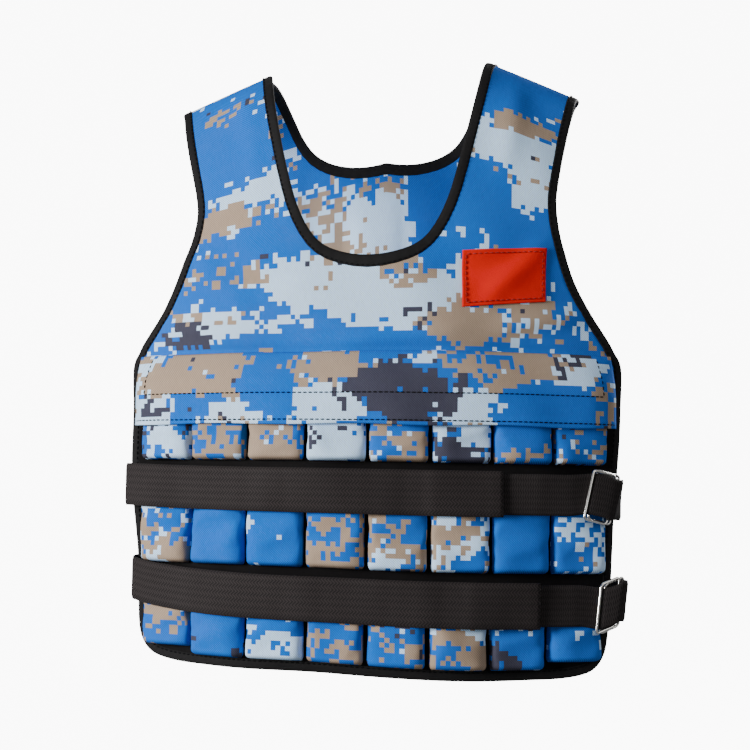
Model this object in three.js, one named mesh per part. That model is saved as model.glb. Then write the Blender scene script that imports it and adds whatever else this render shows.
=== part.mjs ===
import * as THREE from 'three';

// Weighted vest in its worn form. Millimetres, +Z up, the front faces -Y.
// The origin lies midway between the two shoulder straps, at the crest of their arch.
// Cloth is laid out by two lengths: across = round the body from the centre line,
// down = along the cloth from the crest of the shoulder to the hem.

const HALF_WIDTH = 242;
const DROP = 587;
const FRONT_REACH = 92;
const BACK_REACH = 112;
const WRAP_RADIUS = 458;
const ARCH_RISE = 190;
const ARCH_PATH = ARCH_RISE * 1.184;
const ARCH_SQUARE = 2.5;
const CREST_FALL = 0.42;
const CREST_MID = HALF_WIDTH * 0.628;
const HANG_LINE = DROP * -0.562;
const HANG_LEAN = 0.021;

const CLOTH = 3;
const GAP = 0.3;
const BINDING_WIDTH = 10;
const BINDING_THICK = 4.6;
const FLAP_THICK = 2;
const PATCH_THICK = 1.2;
const POCKET_FILL = 15;
const POCKET_SPACE = 5;
const POCKET_CORNER = 9;
const BELT_WIDTH = 40;
const BELT_THICK = 2.2;
const RING_WIRE = 2.6;
const COLUMNS = 8;

const FRONT = -1;
const BACK = 1;
const CLOTH_FACE = CLOTH / 2;
const PITCH = HALF_WIDTH * 0.229;

// Lift of each layer above the middle of the panel cloth.
const POCKET_BASE = CLOTH_FACE + GAP + (PITCH * PITCH) / (32 * WRAP_RADIUS) + 0.05;
const POCKET_TOP = POCKET_BASE + POCKET_FILL;
const FLAP_SAG = (PITCH * PITCH) / (8 * WRAP_RADIUS);
const FLAP_UNDER = POCKET_TOP + FLAP_SAG + GAP + 0.2;
const BELT_UNDER = POCKET_TOP + GAP + 0.9;
const BELT_OVER = BELT_UNDER + BELT_THICK + GAP + 0.25;

// Free edge from the shoulder crest round the armhole, the side and the hem to the centre line.
const SIDE_EDGE = [
  { across: 0.826, down: 0.0 },
  { across: 0.81, down: 0.037 },
  { across: 0.793, down: 0.075 },
  { across: 0.775, down: 0.114 },
  { across: 0.756, down: 0.153 },
  { across: 0.737, down: 0.192 },
  { across: 0.716, down: 0.237 },
  { across: 0.71, down: 0.271 },
  { across: 0.726, down: 0.313 },
  { across: 0.753, down: 0.348 },
  { across: 0.792, down: 0.391 },
  { across: 0.861, down: 0.438 },
  { across: 0.925, down: 0.473 },
  { across: 0.962, down: 0.495 },
  { across: 1.0, down: 0.526 },
  { across: 0.993, down: 0.596 },
  { across: 0.984, down: 0.673 },
  { across: 0.967, down: 0.753 },
  { across: 0.95, down: 0.83 },
  { across: 0.941, down: 0.908 },
  { across: 0.93, down: 0.946 },
  { across: 0.91, down: 0.967 },
  { across: 0.876, down: 0.982 },
  { across: 0.826, down: 0.991 },
  { across: 0.735, down: 0.997 },
  { across: 0.62, down: 0.999 },
  { across: 0.455, down: 1.0 },
  { across: 0.229, down: 1.0 },
  { across: 0.0, down: 1.0 },
];
const SPLIT_ROW = SIDE_EDGE.findIndex((row) => row.across === 1);
const CORNER_ROW = SIDE_EDGE.findIndex((row) => row.down > 0.98);

// Free edge of the two necklines from the shoulder crest to the centre line.
const FRONT_NECK = [
  { across: 0.446, down: 0.0 },
  { across: 0.428, down: 0.037 },
  { across: 0.41, down: 0.078 },
  { across: 0.389, down: 0.123 },
  { across: 0.364, down: 0.17 },
  { across: 0.331, down: 0.225 },
  { across: 0.289, down: 0.281 },
  { across: 0.24, down: 0.32 },
  { across: 0.182, down: 0.344 },
  { across: 0.099, down: 0.357 },
  { across: 0.0, down: 0.362 },
];
const BACK_NECK = [
  { across: 0.446, down: 0.0 },
  { across: 0.434, down: 0.02 },
  { across: 0.421, down: 0.04 },
  { across: 0.404, down: 0.064 },
  { across: 0.382, down: 0.09 },
  { across: 0.35, down: 0.122 },
  { across: 0.304, down: 0.15 },
  { across: 0.24, down: 0.17 },
  { across: 0.163, down: 0.183 },
  { across: 0.083, down: 0.19 },
  { across: 0.0, down: 0.192 },
];

const NECK_ROWS = FRONT_NECK.length - 1;

// Pocket rows, top and bottom as shares of the drop, pitch as a share of the first row's.
// The two end pockets have their own outer corner and are shorter by a share of the drop.
const POCKET_ROWS = [
  { name: 'upper', top: 0.527, bottom: 0.678, spread: 1.0, corner: 1.0, short: 0.0 },
  { name: 'middle', top: 0.686, bottom: 0.842, spread: 0.991, corner: 1.0, short: 0.0 },
  { name: 'lower', top: 0.85, bottom: 0.979, spread: 0.974, corner: 2.1, short: 0.012 },
];

// Sections of one filled pocket from its back to its face: lift as a share of the fill,
// insets in shares of the pitch.
const POCKET_RINGS = [
  { lift: 0.0, side: 0.0, head: 0.0, foot: 0.0 },
  { lift: 0.42, side: 0.0, head: 0.055, foot: 0.0 },
  { lift: 0.8, side: 0.09, head: 0.2, foot: 0.08 },
  { lift: 0.96, side: 0.25, head: 0.42, foot: 0.22 },
];

// Flap rows: place down the drop, lift as a share of its highest lift.
const FLAP_ROWS = [
  { down: 0.5075, lift: 0.0 },
  { down: 0.518, lift: 0.26 },
  { down: 0.532, lift: 0.56 },
  { down: 0.55, lift: 0.87 },
  { down: 0.57, lift: 1.0 },
  { down: 0.62, lift: 1.0 },
];
const FLAP_COLUMNS = [
  { across: 0.0, lift: 1.0 },
  { across: 0.229, lift: 1.0 },
  { across: 0.458, lift: 1.0 },
  { across: 0.687, lift: 1.0 },
  { across: 0.83, lift: 1.0 },
  { across: 0.885, lift: 0.88 },
  { across: 0.915, lift: 0.68 },
  { across: 0.94, lift: 0.42 },
];

const PATCH = { inner: 0.343, outer: 0.668, innerTop: 0.355, outerTop: 0.343, tall: 0.084 };

// Belts: the middle line down the drop, its climb to the wearer's right edge, the free end,
// and the rings as corners of the front ring.
const BELTS = [
  {
    name: 'upper',
    middle: 0.7215,
    climb: 0.006,
    end: 0.482,
    ring: { topIn: 0.823, topOut: 0.92, footIn: 0.779, footOut: 0.872, head: 0.683, slant: 0.0085 },
  },
  {
    name: 'lower',
    middle: 0.886,
    climb: 0.021,
    end: 0.62,
    ring: { topIn: 0.856, topOut: 0.93, footIn: 0.836, footOut: 0.91, head: 0.854, slant: -0.011 },
  },
];
const RING_TALL = BELT_WIDTH + RING_WIRE + 0.2;
const RING_SHIFT = 5.6;
const BELT_JOIN = HALF_WIDTH * 0.65;
const BELT_LAP = HALF_WIDTH * 0.24;
const BELT_EASE = 14;
const STRAP_WIDTH = BELT_WIDTH - 4;
const STRAP_START = 6;
const STRAP_IN_RING = RING_WIRE / 2 + 1.7;
const STRAP_LOOP = 7;

// Way of the strap through its rings: share from the inner to the outer bar, shift along the body,
// and lift in ring wires with its clearance.
const THREADING = [
  { share: 0, shift: 0.6, wires: 0, clear: 0 },
  { share: 0, shift: RING_SHIFT - 0.8, wires: 1, clear: 0.4 },
  { share: 0.5, shift: RING_SHIFT, wires: 2, clear: 0.4 },
  { share: 1, shift: 1.5, wires: 2, clear: 0.3 },
  { share: 1, shift: RING_SHIFT + RING_WIRE, wires: 0.9, clear: 0 },
];

const CAMO = { color: 0x3a86cc, roughness: 0.85, metalness: 0 };
const LINING = { color: 0x1c1b1d, roughness: 0.9, metalness: 0 };
const TAPE = { color: 0x141314, roughness: 0.7, metalness: 0 };
const WEBBING = { color: 0x242122, roughness: 0.9, metalness: 0 };
const RED_CLOTH = { color: 0xd8281c, roughness: 0.8, metalness: 0 };
const BRIGHT_WIRE = { color: 0xd5d7da, roughness: 0.2, metalness: 1 };

function quarterArch() {
  const steps = 64;
  const lean = ARCH_RISE / 65;
  const list = [{ run: 0, y: 1, z: 0 }];
  for (let i = 1; i <= steps; i += 1) {
    const turn = (i / steps) * (Math.PI / 2);
    const c = Math.cos(turn);
    const s = Math.sin(turn);
    const r = (c ** ARCH_SQUARE + s ** ARCH_SQUARE) ** (-1 / ARCH_SQUARE);
    const last = list[i - 1];
    const y = Math.max(c, 0) * r;
    const z = s * r;
    list.push({ run: last.run + Math.hypot(y - last.y, (z - last.z) * lean), y, z });
  }
  return list;
}

const ARCH = quarterArch();

function archAt(share) {
  const run = share * ARCH[ARCH.length - 1].run;
  let i = 1;
  while (i < ARCH.length - 1 && ARCH[i].run < run) i += 1;
  const a = ARCH[i - 1];
  const b = ARCH[i];
  const t = Math.min(1, Math.max(0, (run - a.run) / (b.run - a.run)));
  return { y: a.y + (b.y - a.y) * t, z: a.z + (b.z - a.z) * t };
}

function hang(x, z) {
  return HANG_LINE + (z - HANG_LINE) * (1 + HANG_LEAN * Math.tanh(x / 100));
}

function clothPoint(face, across, down) {
  const turn = across / WRAP_RADIUS;
  const x = WRAP_RADIUS * Math.sin(turn);
  const reach = (face === FRONT ? FRONT_REACH : BACK_REACH) - WRAP_RADIUS * (1 - Math.cos(turn));
  if (down >= ARCH_PATH) {
    return new THREE.Vector3(x, face * reach, hang(x, -ARCH_RISE - (down - ARCH_PATH)));
  }
  const arch = archAt(1 - down / ARCH_PATH);
  const crest = -CREST_FALL * (Math.abs(x) - CREST_MID);
  return new THREE.Vector3(x, face * reach * arch.y, hang(x, -ARCH_RISE + (crest + ARCH_RISE) * arch.z));
}

// A point of the cloth raised off its middle surface, outward when lift is positive.
function place(face, across, down, lift) {
  const step = 2;
  const above = Math.max(down - step, 0);
  const sideways = clothPoint(face, across + step, down).sub(clothPoint(face, across - step, down));
  const downward = clothPoint(face, across, down + step).sub(clothPoint(face, across, above));
  const outward = downward.cross(sideways).multiplyScalar(-face).normalize();
  return clothPoint(face, across, down).addScaledVector(outward, lift);
}

function triangle(soup, a, b, c, flip) {
  const order = flip ? [a, c, b] : [a, b, c];
  order.forEach((p) => soup.push(p.x, p.y, p.z));
}

function quad(soup, a, b, c, d, flip) {
  triangle(soup, a, b, c, flip);
  triangle(soup, a, c, d, flip);
}

function meshOf(name, finish, soup) {
  const geometry = new THREE.BufferGeometry();
  geometry.setAttribute('position', new THREE.Float32BufferAttribute(soup, 3));
  const mesh = new THREE.Mesh(geometry, new THREE.MeshStandardMaterial(finish));
  mesh.name = name;
  return mesh;
}

// Closed slab of cloth over a grid of (across, down) nodes with an under and an over lift.
// side is 1 or -1; joined rows share the centre line with the other half.
function halfSlab(soup, face, side, rows, under, over, openRows) {
  const flip = (face === BACK) !== (side < 0);
  const at = (node, lift) => place(face, side * node.across, node.down, lift(node));
  const low = rows.map((row) => row.map((node) => at(node, under)));
  const top = rows.map((row) => row.map((node) => at(node, over)));
  const lastRow = rows.length - 1;
  const lastCol = rows[0].length - 1;
  for (let j = 0; j < lastRow; j += 1) {
    for (let i = 0; i < lastCol; i += 1) {
      quad(soup, top[j][i], top[j + 1][i], top[j + 1][i + 1], top[j][i + 1], flip);
      quad(soup, low[j][i], low[j][i + 1], low[j + 1][i + 1], low[j + 1][i], flip);
    }
    quad(soup, top[j][lastCol], top[j + 1][lastCol], low[j + 1][lastCol], low[j][lastCol], flip);
    if (j < openRows) quad(soup, top[j][0], low[j][0], low[j + 1][0], top[j + 1][0], flip);
  }
  for (let i = 0; i < lastCol; i += 1) {
    quad(soup, top[0][i], top[0][i + 1], low[0][i + 1], low[0][i], flip);
    quad(soup, top[lastRow][i], low[lastRow][i], low[lastRow][i + 1], top[lastRow][i + 1], flip);
  }
}

function slab(name, finish, face, rows, under, over, openRows = 0) {
  const soup = [];
  halfSlab(soup, face, 1, rows, under, over, openRows);
  halfSlab(soup, face, -1, rows, under, over, openRows);
  return meshOf(name, finish, soup);
}

function sized(table) {
  return table.map((row) => ({ across: row.across * HALF_WIDTH, down: row.down * DROP }));
}

// The free edge moved into the cloth; inward is -1 for the sides and 1 for a neckline.
function inset(line, width, inward) {
  const first = { across: line[1].across, down: -line[1].down };
  const before = line[line.length - 2];
  const last = { across: -before.across, down: before.down };
  const full = [first, ...line, last];
  return line.map((p, i) => {
    const normals = [[full[i], p], [p, full[i + 2]]].map(([a, b]) => {
      const run = new THREE.Vector2(b.across - a.across, b.down - a.down).normalize();
      return new THREE.Vector2(run.y, -run.x).multiplyScalar(inward);
    });
    const share = width / (1 + normals[0].dot(normals[1]));
    const across = p.across + (normals[0].x + normals[1].x) * share;
    return { across: Math.max(across, 0), down: p.down + (normals[0].y + normals[1].y) * share };
  });
}

function rowBetween(a, b, shares) {
  return shares.map((t) => ({
    across: a.across + (b.across - a.across) * t,
    down: a.down + (b.down - a.down) * t,
  }));
}

const EDGE = sized(SIDE_EDGE);
const PANEL_EDGE = inset(EDGE, BINDING_WIDTH + GAP, -1);
const SPLIT = PANEL_EDGE[SPLIT_ROW].down;
const EVEN = [0, 0.2, 0.4, 0.6, 0.8, 1];

// Chest or upper back with its straps, from the shoulder crest to just under the flap.
function yoke(name, face, neckTable) {
  const neck = inset(sized(neckTable), BINDING_WIDTH + GAP, 1);
  const rows = [];
  for (let j = 0; j <= NECK_ROWS; j += 1) {
    rows.push(rowBetween(neck[j], PANEL_EDGE[j], EVEN));
  }
  const centre = neck[NECK_ROWS].down;
  const left = SPLIT_ROW - NECK_ROWS;
  for (let j = 1; j <= left; j += 1) {
    const down = centre + ((SPLIT - centre) * j) / left;
    rows.push(rowBetween({ across: 0, down }, PANEL_EDGE[NECK_ROWS + j], EVEN));
  }
  rows[0].forEach((node) => { node.down = GAP / 2; });
  rows[SPLIT_ROW].forEach((node) => { node.down = SPLIT - GAP / 2; });
  return slab(name, CAMO, face, rows, () => -CLOTH_FACE, () => CLOTH_FACE, NECK_ROWS);
}

// Backing cloth behind the pockets, from under the flap to the hem binding.
function base(name, face) {
  const shares = [0, 0.24, 0.48, 0.7, 0.82, 0.92, 1];
  const rows = [];
  for (let j = SPLIT_ROW; j < CORNER_ROW; j += 1) {
    const end = PANEL_EDGE[j];
    const down = j === SPLIT_ROW ? SPLIT + GAP / 2 : end.down;
    rows.push(rowBetween({ across: 0, down }, { across: end.across, down }, shares));
  }
  rows.push(PANEL_EDGE.slice(CORNER_ROW).reverse());
  return slab(name, LINING, face, rows, () => -CLOTH_FACE, () => CLOTH_FACE);
}

function flap(name, face) {
  const lowest = CLOTH_FACE + FLAP_SAG + GAP + 0.1;
  const rise = FLAP_UNDER - lowest;
  const rows = FLAP_ROWS.map((row) => FLAP_COLUMNS.map((column) => ({
    across: column.across * HALF_WIDTH,
    down: row.down * DROP,
    lift: lowest + rise * row.lift * column.lift,
  })));
  return slab(name, CAMO, face, rows, (node) => node.lift, (node) => node.lift + FLAP_THICK);
}

// Outline of one pocket section, clockwise from the upper left as seen from outside.
function pocketOutline(middle, half, top, bottom, corners) {
  const points = [];
  const corner = (x, y, dx, dy, radius, steps) => {
    for (let i = 0; i <= steps; i += 1) {
      const turn = (i / steps) * (Math.PI / 2);
      const a = radius * (1 - Math.sin(turn));
      const b = radius * (1 - Math.cos(turn));
      const [sideways, downward] = dx * dy > 0 ? [b, a] : [a, b];
      points.push({ across: x + dx * sideways, down: y + dy * downward });
    }
  };
  corner(middle - half, top, 1, 1, corners.head, 1);
  points.push({ across: middle, down: top });
  corner(middle + half, top, -1, 1, corners.head, 1);
  corner(middle + half, bottom, -1, -1, corners.right, 2);
  points.push({ across: middle, down: bottom });
  corner(middle - half, bottom, 1, -1, corners.left, 2);
  return points;
}

function pocket(name, face, row, column) {
  const pitch = PITCH * row.spread;
  const middle = (column - (COLUMNS - 1) / 2) * pitch;
  const half = (pitch - POCKET_SPACE) / 2;
  const isEnd = Math.abs(middle) > pitch * (COLUMNS / 2 - 1);
  const outer = isEnd ? row.corner : 1;
  const foot = (row.bottom - (isEnd ? row.short : 0)) * DROP;
  const rings = POCKET_RINGS.map((ring) => {
    const shrink = 1 - ring.side * 1.6;
    const corners = {
      head: POCKET_CORNER * 0.5 * shrink,
      left: POCKET_CORNER * shrink * (middle < 0 ? outer : 1),
      right: POCKET_CORNER * shrink * (middle > 0 ? outer : 1),
    };
    const top = row.top * DROP + ring.head * PITCH;
    const bottom = foot - ring.foot * PITCH;
    const nodes = pocketOutline(middle, half - ring.side * PITCH, top, bottom, corners);
    const lift = POCKET_BASE + POCKET_FILL * ring.lift;
    return nodes.map((node) => place(face, node.across, node.down, lift));
  });
  const soup = [];
  const flip = face === BACK;
  const count = rings[0].length;
  for (let k = 1; k < rings.length; k += 1) {
    for (let i = 0; i < count; i += 1) {
      const n = (i + 1) % count;
      quad(soup, rings[k - 1][i], rings[k][i], rings[k][n], rings[k - 1][n], flip);
    }
  }
  const crown = place(face, middle, (row.top + row.bottom) * DROP * 0.5, POCKET_TOP);
  const last = rings[rings.length - 1];
  for (let i = 0; i < count; i += 1) triangle(soup, crown, last[(i + 1) % count], last[i], flip);
  pocketBack(soup, rings[0], flip);
  return meshOf(name, CAMO, soup);
}

// The back of a pocket bends along its middle so that it follows the wrap of the cloth.
function pocketBack(soup, ring, flip) {
  const top = 2;
  const bottom = 8;
  for (let i = top + 1; i < bottom; i += 1) triangle(soup, ring[top], ring[i], ring[i + 1], flip);
  const left = [...ring.slice(bottom), ...ring.slice(0, top + 1)];
  for (let i = 1; i < left.length - 1; i += 1) triangle(soup, left[0], left[i], left[i + 1], flip);
}

// One row of back pockets, quilted from a single strip with a valley between the fills.
function pocketStrip(name, face, row) {
  const pitch = PITCH * row.spread;
  const valley = 0.2;
  const shape = [
    { at: -0.445, lift: valley },
    { at: -0.34, lift: 0.8 },
    { at: 0.0, lift: 1.0 },
    { at: 0.34, lift: 0.8 },
    { at: 0.445, lift: valley },
  ];
  const columns = [];
  for (let i = 0; i < COLUMNS / 2; i += 1) {
    shape.forEach((s) => columns.push({ across: (i + 0.5 + s.at) * pitch, lift: s.lift }));
  }
  columns[0].across = 0;
  const profile = [
    { down: 0.0, lift: 0.12 },
    { down: 0.15, lift: 0.6 },
    { down: 0.38, lift: 1.0 },
    { down: 0.88, lift: 0.9 },
    { down: 1.0, lift: 0.12 },
  ];
  const bottomAt = (across) => row.bottom - 2.6 * row.short * Math.max(0, across / pitch - 3) ** 2;
  const rows = profile.map((part) => columns.map((column) => ({
    across: column.across,
    down: (row.top + (bottomAt(column.across) - row.top) * part.down) * DROP,
    lift: POCKET_BASE + POCKET_FILL * Math.max(part.lift * column.lift, 0.1),
  })));
  return slab(name, CAMO, face, rows, () => POCKET_BASE, (node) => node.lift);
}

function patch() {
  const rows = [0, 0.5, 1].map((t) => [0, 1 / 3, 2 / 3, 1].map((u) => ({
    across: (PATCH.inner + (PATCH.outer - PATCH.inner) * u) * HALF_WIDTH,
    down: (PATCH.innerTop + (PATCH.outerTop - PATCH.innerTop) * u + PATCH.tall * t) * DROP,
  })));
  const soup = [];
  const under = CLOTH_FACE + GAP + 0.25;
  halfSlab(soup, FRONT, 1, rows, () => under, () => under + PATCH_THICK, rows.length);
  return meshOf('chest_patch', RED_CLOTH, soup);
}

// Closed tube from a list of like sections; each section runs the same way round.
function sweep(name, finish, sections, closed) {
  const soup = [];
  const count = sections.length;
  const sides = sections[0].length;
  const spans = closed ? count : count - 1;
  for (let k = 0; k < spans; k += 1) {
    const a = sections[k];
    const b = sections[(k + 1) % count];
    for (let i = 0; i < sides; i += 1) {
      const n = (i + 1) % sides;
      quad(soup, a[i], b[i], b[n], a[n], false);
    }
  }
  if (!closed) {
    const end = sections[count - 1];
    for (let i = 1; i < sides - 1; i += 1) {
      triangle(soup, sections[0][0], sections[0][i], sections[0][i + 1], false);
      triangle(soup, end[0], end[i + 1], end[i], false);
    }
  }
  return meshOf(name, finish, outwardSoup(soup));
}

function outwardSoup(soup) {
  let volume = 0;
  const p = [0, 1, 2].map(() => new THREE.Vector3());
  for (let i = 0; i < soup.length; i += 9) {
    p.forEach((v, k) => v.set(soup[i + 3 * k], soup[i + 3 * k + 1], soup[i + 3 * k + 2]));
    volume += p[0].dot(p[1].clone().cross(p[2]));
  }
  if (volume > 0) return soup;
  const turned = [];
  for (let i = 0; i < soup.length; i += 9) {
    turned.push(...soup.slice(i, i + 3), ...soup.slice(i + 6, i + 9), ...soup.slice(i + 3, i + 6));
  }
  return turned;
}

// Binding tape round one closed edge: down the front on one side and back up on the other.
function binding(name, frontLine, backLine, inward) {
  const loops = [[FRONT, frontLine], [BACK, backLine]].map(([face, line]) => {
    const inner = inset(line, BINDING_WIDTH, inward);
    const half = line.map((node, i) => ({ face, free: node, held: inner[i] }));
    const right = half.map((s) => ({ ...s, side: 1 }));
    const left = half.slice(0, -1).map((s) => ({ ...s, side: -1 }));
    return [...right, ...left.reverse()];
  });
  const stations = [...loops[0], ...loops[1].slice(1, -1).reverse()];
  const thick = BINDING_THICK / 2;
  return sweep(name, TAPE, stations.map(({ face, free, held, side }) => [
    place(face, side * held.across, held.down, thick),
    place(face, side * free.across, free.down, thick * 0.75),
    place(face, side * free.across, free.down, -thick * 0.75),
    place(face, side * held.across, held.down, -thick),
  ]), true);
}

// A belt station: head and foot are its two edges, lift its underside.
function beltSection(s) {
  return [
    place(s.face, s.head.across, s.head.down, s.lift),
    place(s.face, s.head.across, s.head.down, s.lift + BELT_THICK),
    place(s.face, s.foot.across, s.foot.down, s.lift + BELT_THICK),
    place(s.face, s.foot.across, s.foot.down, s.lift),
  ];
}

function level(face, across, middle, lift, width = BELT_WIDTH) {
  return {
    face,
    lift,
    head: { across, down: middle - width / 2 },
    foot: { across, down: middle + width / 2 },
  };
}

// Where a belt leaves the fills and turns round the edge, as shares of the edge's own width.
const SIDE_TURN = [
  { across: 0.86, lift: 1.0 },
  { across: 0.935, lift: 0.8 },
  { across: 1.004, lift: 0.17 },
];

function edgeWidth(down) {
  let i = SPLIT_ROW + 1;
  while (i < CORNER_ROW - 2 && EDGE[i].down < down) i += 1;
  const a = EDGE[i - 1];
  const b = EDGE[i];
  return a.across + ((b.across - a.across) * (down - a.down)) / (b.down - a.down);
}

// Belt from its free end on the front, round the wearer's right side and across the back.
function longBelt(belt) {
  const middle = (across) => {
    const share = Math.min(1, Math.max(0, (-across / HALF_WIDTH - 0.3) / 0.65));
    return (belt.middle - belt.climb * share * share) * DROP;
  };
  const stations = [];
  const end = belt.end * HALF_WIDTH;
  const lapped = end - BELT_LAP;
  const sideDown = middle(-HALF_WIDTH);
  const wide = edgeWidth(sideDown - BELT_WIDTH / 2);
  const frontTurn = -SIDE_TURN[0].across * wide;
  for (let i = 0; i <= 2; i += 1) {
    const across = end - ((BELT_LAP - 2) * i) / 2;
    stations.push(level(FRONT, across, middle(across), BELT_OVER));
  }
  for (let i = 0; i <= 9; i += 1) {
    const across = lapped - BELT_EASE + ((frontTurn - lapped + BELT_EASE) * i) / 9;
    stations.push(level(FRONT, across, middle(across), BELT_UNDER));
  }
  SIDE_TURN.slice(1).forEach((s) => {
    const across = -s.across * wide;
    stations.push(level(FRONT, across, middle(across), BELT_UNDER * s.lift));
  });
  [...SIDE_TURN].reverse().forEach((s) => {
    stations.push(level(BACK, -s.across * wide, sideDown, BELT_UNDER * s.lift));
  });
  const backStart = frontTurn;
  const backEnd = BELT_JOIN - GAP;
  for (let i = 1; i <= 10; i += 1) {
    const across = backStart + ((backEnd - backStart) * i) / 10;
    const settle = Math.min(1, (across - backStart) / HALF_WIDTH);
    const down = sideDown + (belt.middle * DROP - sideDown) * settle;
    stations.push(level(BACK, across, down, BELT_UNDER));
  }
  return sweep(`${belt.name}_belt`, WEBBING, stations.map(beltSection), false);
}

// Shorter strap: from under the long belt through the rings and round the other side.
function ringStrap(belt) {
  const { ring } = belt;
  const middle = belt.middle * DROP;
  const width = STRAP_WIDTH;
  const start = belt.end * HALF_WIDTH - BELT_LAP + STRAP_START;
  const stations = [];
  const ringIn = (ring.footIn - 0.05) * HALF_WIDTH;
  for (let i = 0; i <= 5; i += 1) {
    stations.push(level(FRONT, start + ((ringIn - start) * i) / 5, middle, BELT_UNDER, width));
  }
  const slant = ring.slant * DROP;
  const threaded = ({ share, shift, wires, clear }) => {
    const top = ring.topIn + (ring.topOut - ring.topIn) * share;
    const foot = ring.footIn + (ring.footOut - ring.footIn) * share;
    const edge = (inRing) => ({
      across: (top + ((foot - top) * inRing) / RING_TALL) * HALF_WIDTH + shift,
      down: ring.head * DROP + slant * share + inRing,
    });
    const lift = BELT_UNDER + RING_WIRE * wires + clear;
    return { face: FRONT, lift, head: edge(STRAP_IN_RING), foot: edge(STRAP_IN_RING + width) };
  };
  stations.push(...THREADING.map(threaded));
  const down = ring.head * DROP + STRAP_IN_RING + slant + width / 2;
  const wide = edgeWidth(middle - width / 2);
  const past = Math.max(SIDE_TURN[2].across * wide, ring.topOut * HALF_WIDTH + RING_SHIFT + STRAP_LOOP);
  stations.push(level(FRONT, past, down, BELT_UNDER * 0.2, width));
  [...SIDE_TURN].reverse().forEach((s) => {
    stations.push(level(BACK, s.across * wide, middle, BELT_UNDER * s.lift, width));
  });
  stations.push(level(BACK, BELT_JOIN, middle, BELT_UNDER, width));
  return sweep(`${belt.name}_ring_strap`, WEBBING, stations.map(beltSection), false);
}

// Rectangular wire ring through four corners, with each corner cut once.
function wireRing(name, corners) {
  const path = [];
  corners.forEach((corner, i) => {
    const before = corners[(i + 3) % 4];
    const after = corners[(i + 1) % 4];
    path.push(corner.clone().add(before.clone().sub(corner).setLength(RING_WIRE * 0.8)));
    path.push(corner.clone().add(after.clone().sub(corner).setLength(RING_WIRE * 0.8)));
  });
  const flat = corners[1].clone().sub(corners[0]).cross(corners[3].clone().sub(corners[0])).normalize();
  const sides = 6;
  const sections = path.map((p, i) => {
    const a = p.clone().sub(path[(i + path.length - 1) % path.length]).normalize();
    const b = path[(i + 1) % path.length].clone().sub(p).normalize();
    const along = a.clone().add(b).normalize();
    const outer = along.clone().cross(flat).normalize();
    const wide = RING_WIRE / 2 / Math.sqrt((1 + a.dot(b)) / 2);
    return Array.from({ length: sides }, (_, k) => {
      const turn = (k / sides) * Math.PI * 2;
      return p.clone()
        .addScaledVector(outer, Math.cos(turn) * wide)
        .addScaledVector(flat, (Math.sin(turn) * RING_WIRE) / 2);
    });
  });
  return sweep(name, BRIGHT_WIRE, sections, true);
}

function rings(belt) {
  const { ring } = belt;
  const slant = ring.slant * DROP;
  const set = [
    { name: 'front', shift: 0, inner: BELT_UNDER + BELT_THICK + GAP + RING_WIRE / 2 + 0.1, drop: 0.9 },
    { name: 'rear', shift: RING_SHIFT, inner: POCKET_TOP + GAP + RING_WIRE / 2 + 0.1, drop: 0.6 },
  ];
  return set.map((one) => {
    const head = ring.head * DROP;
    const corner = (across, down, lift) => place(FRONT, across * HALF_WIDTH + one.shift, down, lift);
    return wireRing(`${belt.name}_ring_${one.name}`, [
      corner(ring.topIn, head, one.inner),
      corner(ring.topOut, head + slant, one.inner - one.drop),
      corner(ring.footOut, head + slant + RING_TALL, one.inner - one.drop),
      corner(ring.footIn, head + RING_TALL, one.inner),
    ]);
  });
}

function frontHalf() {
  const half = new THREE.Group();
  half.add(yoke('front_yoke', FRONT, FRONT_NECK), base('front_base', FRONT), flap('front_flap', FRONT));
  half.add(patch());
  POCKET_ROWS.forEach((row) => {
    for (let column = 0; column < COLUMNS; column += 1) {
      half.add(pocket(`pocket_${row.name}_${column + 1}`, FRONT, row, column));
    }
  });
  return half;
}

function backHalf() {
  const half = new THREE.Group();
  half.add(yoke('back_yoke', BACK, BACK_NECK), base('back_base', BACK), flap('back_flap', BACK));
  POCKET_ROWS.forEach((row) => half.add(pocketStrip(`back_pockets_${row.name}`, BACK, row)));
  return half;
}

function bindings() {
  const tapes = new THREE.Group();
  tapes.add(binding('neck_binding', sized(FRONT_NECK), sized(BACK_NECK), 1));
  tapes.add(binding('edge_binding', EDGE, EDGE, -1));
  return tapes;
}

function fastening(belt) {
  const set = new THREE.Group();
  set.add(longBelt(belt), ringStrap(belt), ...rings(belt));
  return set;
}

const vest = new THREE.Group();
vest.name = 'weighted_vest';
vest.add(frontHalf(), backHalf(), bindings());
BELTS.forEach((belt) => vest.add(fastening(belt)));

export default vest;
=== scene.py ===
import math
import bpy
import numpy as np
from mathutils import Matrix, Vector


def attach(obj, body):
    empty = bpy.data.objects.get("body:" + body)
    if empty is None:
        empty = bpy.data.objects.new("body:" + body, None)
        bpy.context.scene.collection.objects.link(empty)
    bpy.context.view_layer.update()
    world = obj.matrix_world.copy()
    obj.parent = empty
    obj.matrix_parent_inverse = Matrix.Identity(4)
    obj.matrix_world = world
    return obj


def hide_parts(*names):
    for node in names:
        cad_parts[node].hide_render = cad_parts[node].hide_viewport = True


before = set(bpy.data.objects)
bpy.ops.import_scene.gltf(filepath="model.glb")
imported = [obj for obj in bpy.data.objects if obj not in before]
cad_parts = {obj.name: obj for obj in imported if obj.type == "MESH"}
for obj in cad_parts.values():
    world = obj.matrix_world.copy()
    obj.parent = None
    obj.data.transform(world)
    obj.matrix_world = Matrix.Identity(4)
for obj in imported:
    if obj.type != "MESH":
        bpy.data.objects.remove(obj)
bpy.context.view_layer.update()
scene = bpy.context.scene
front, back = -1.0, 1.0

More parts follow.
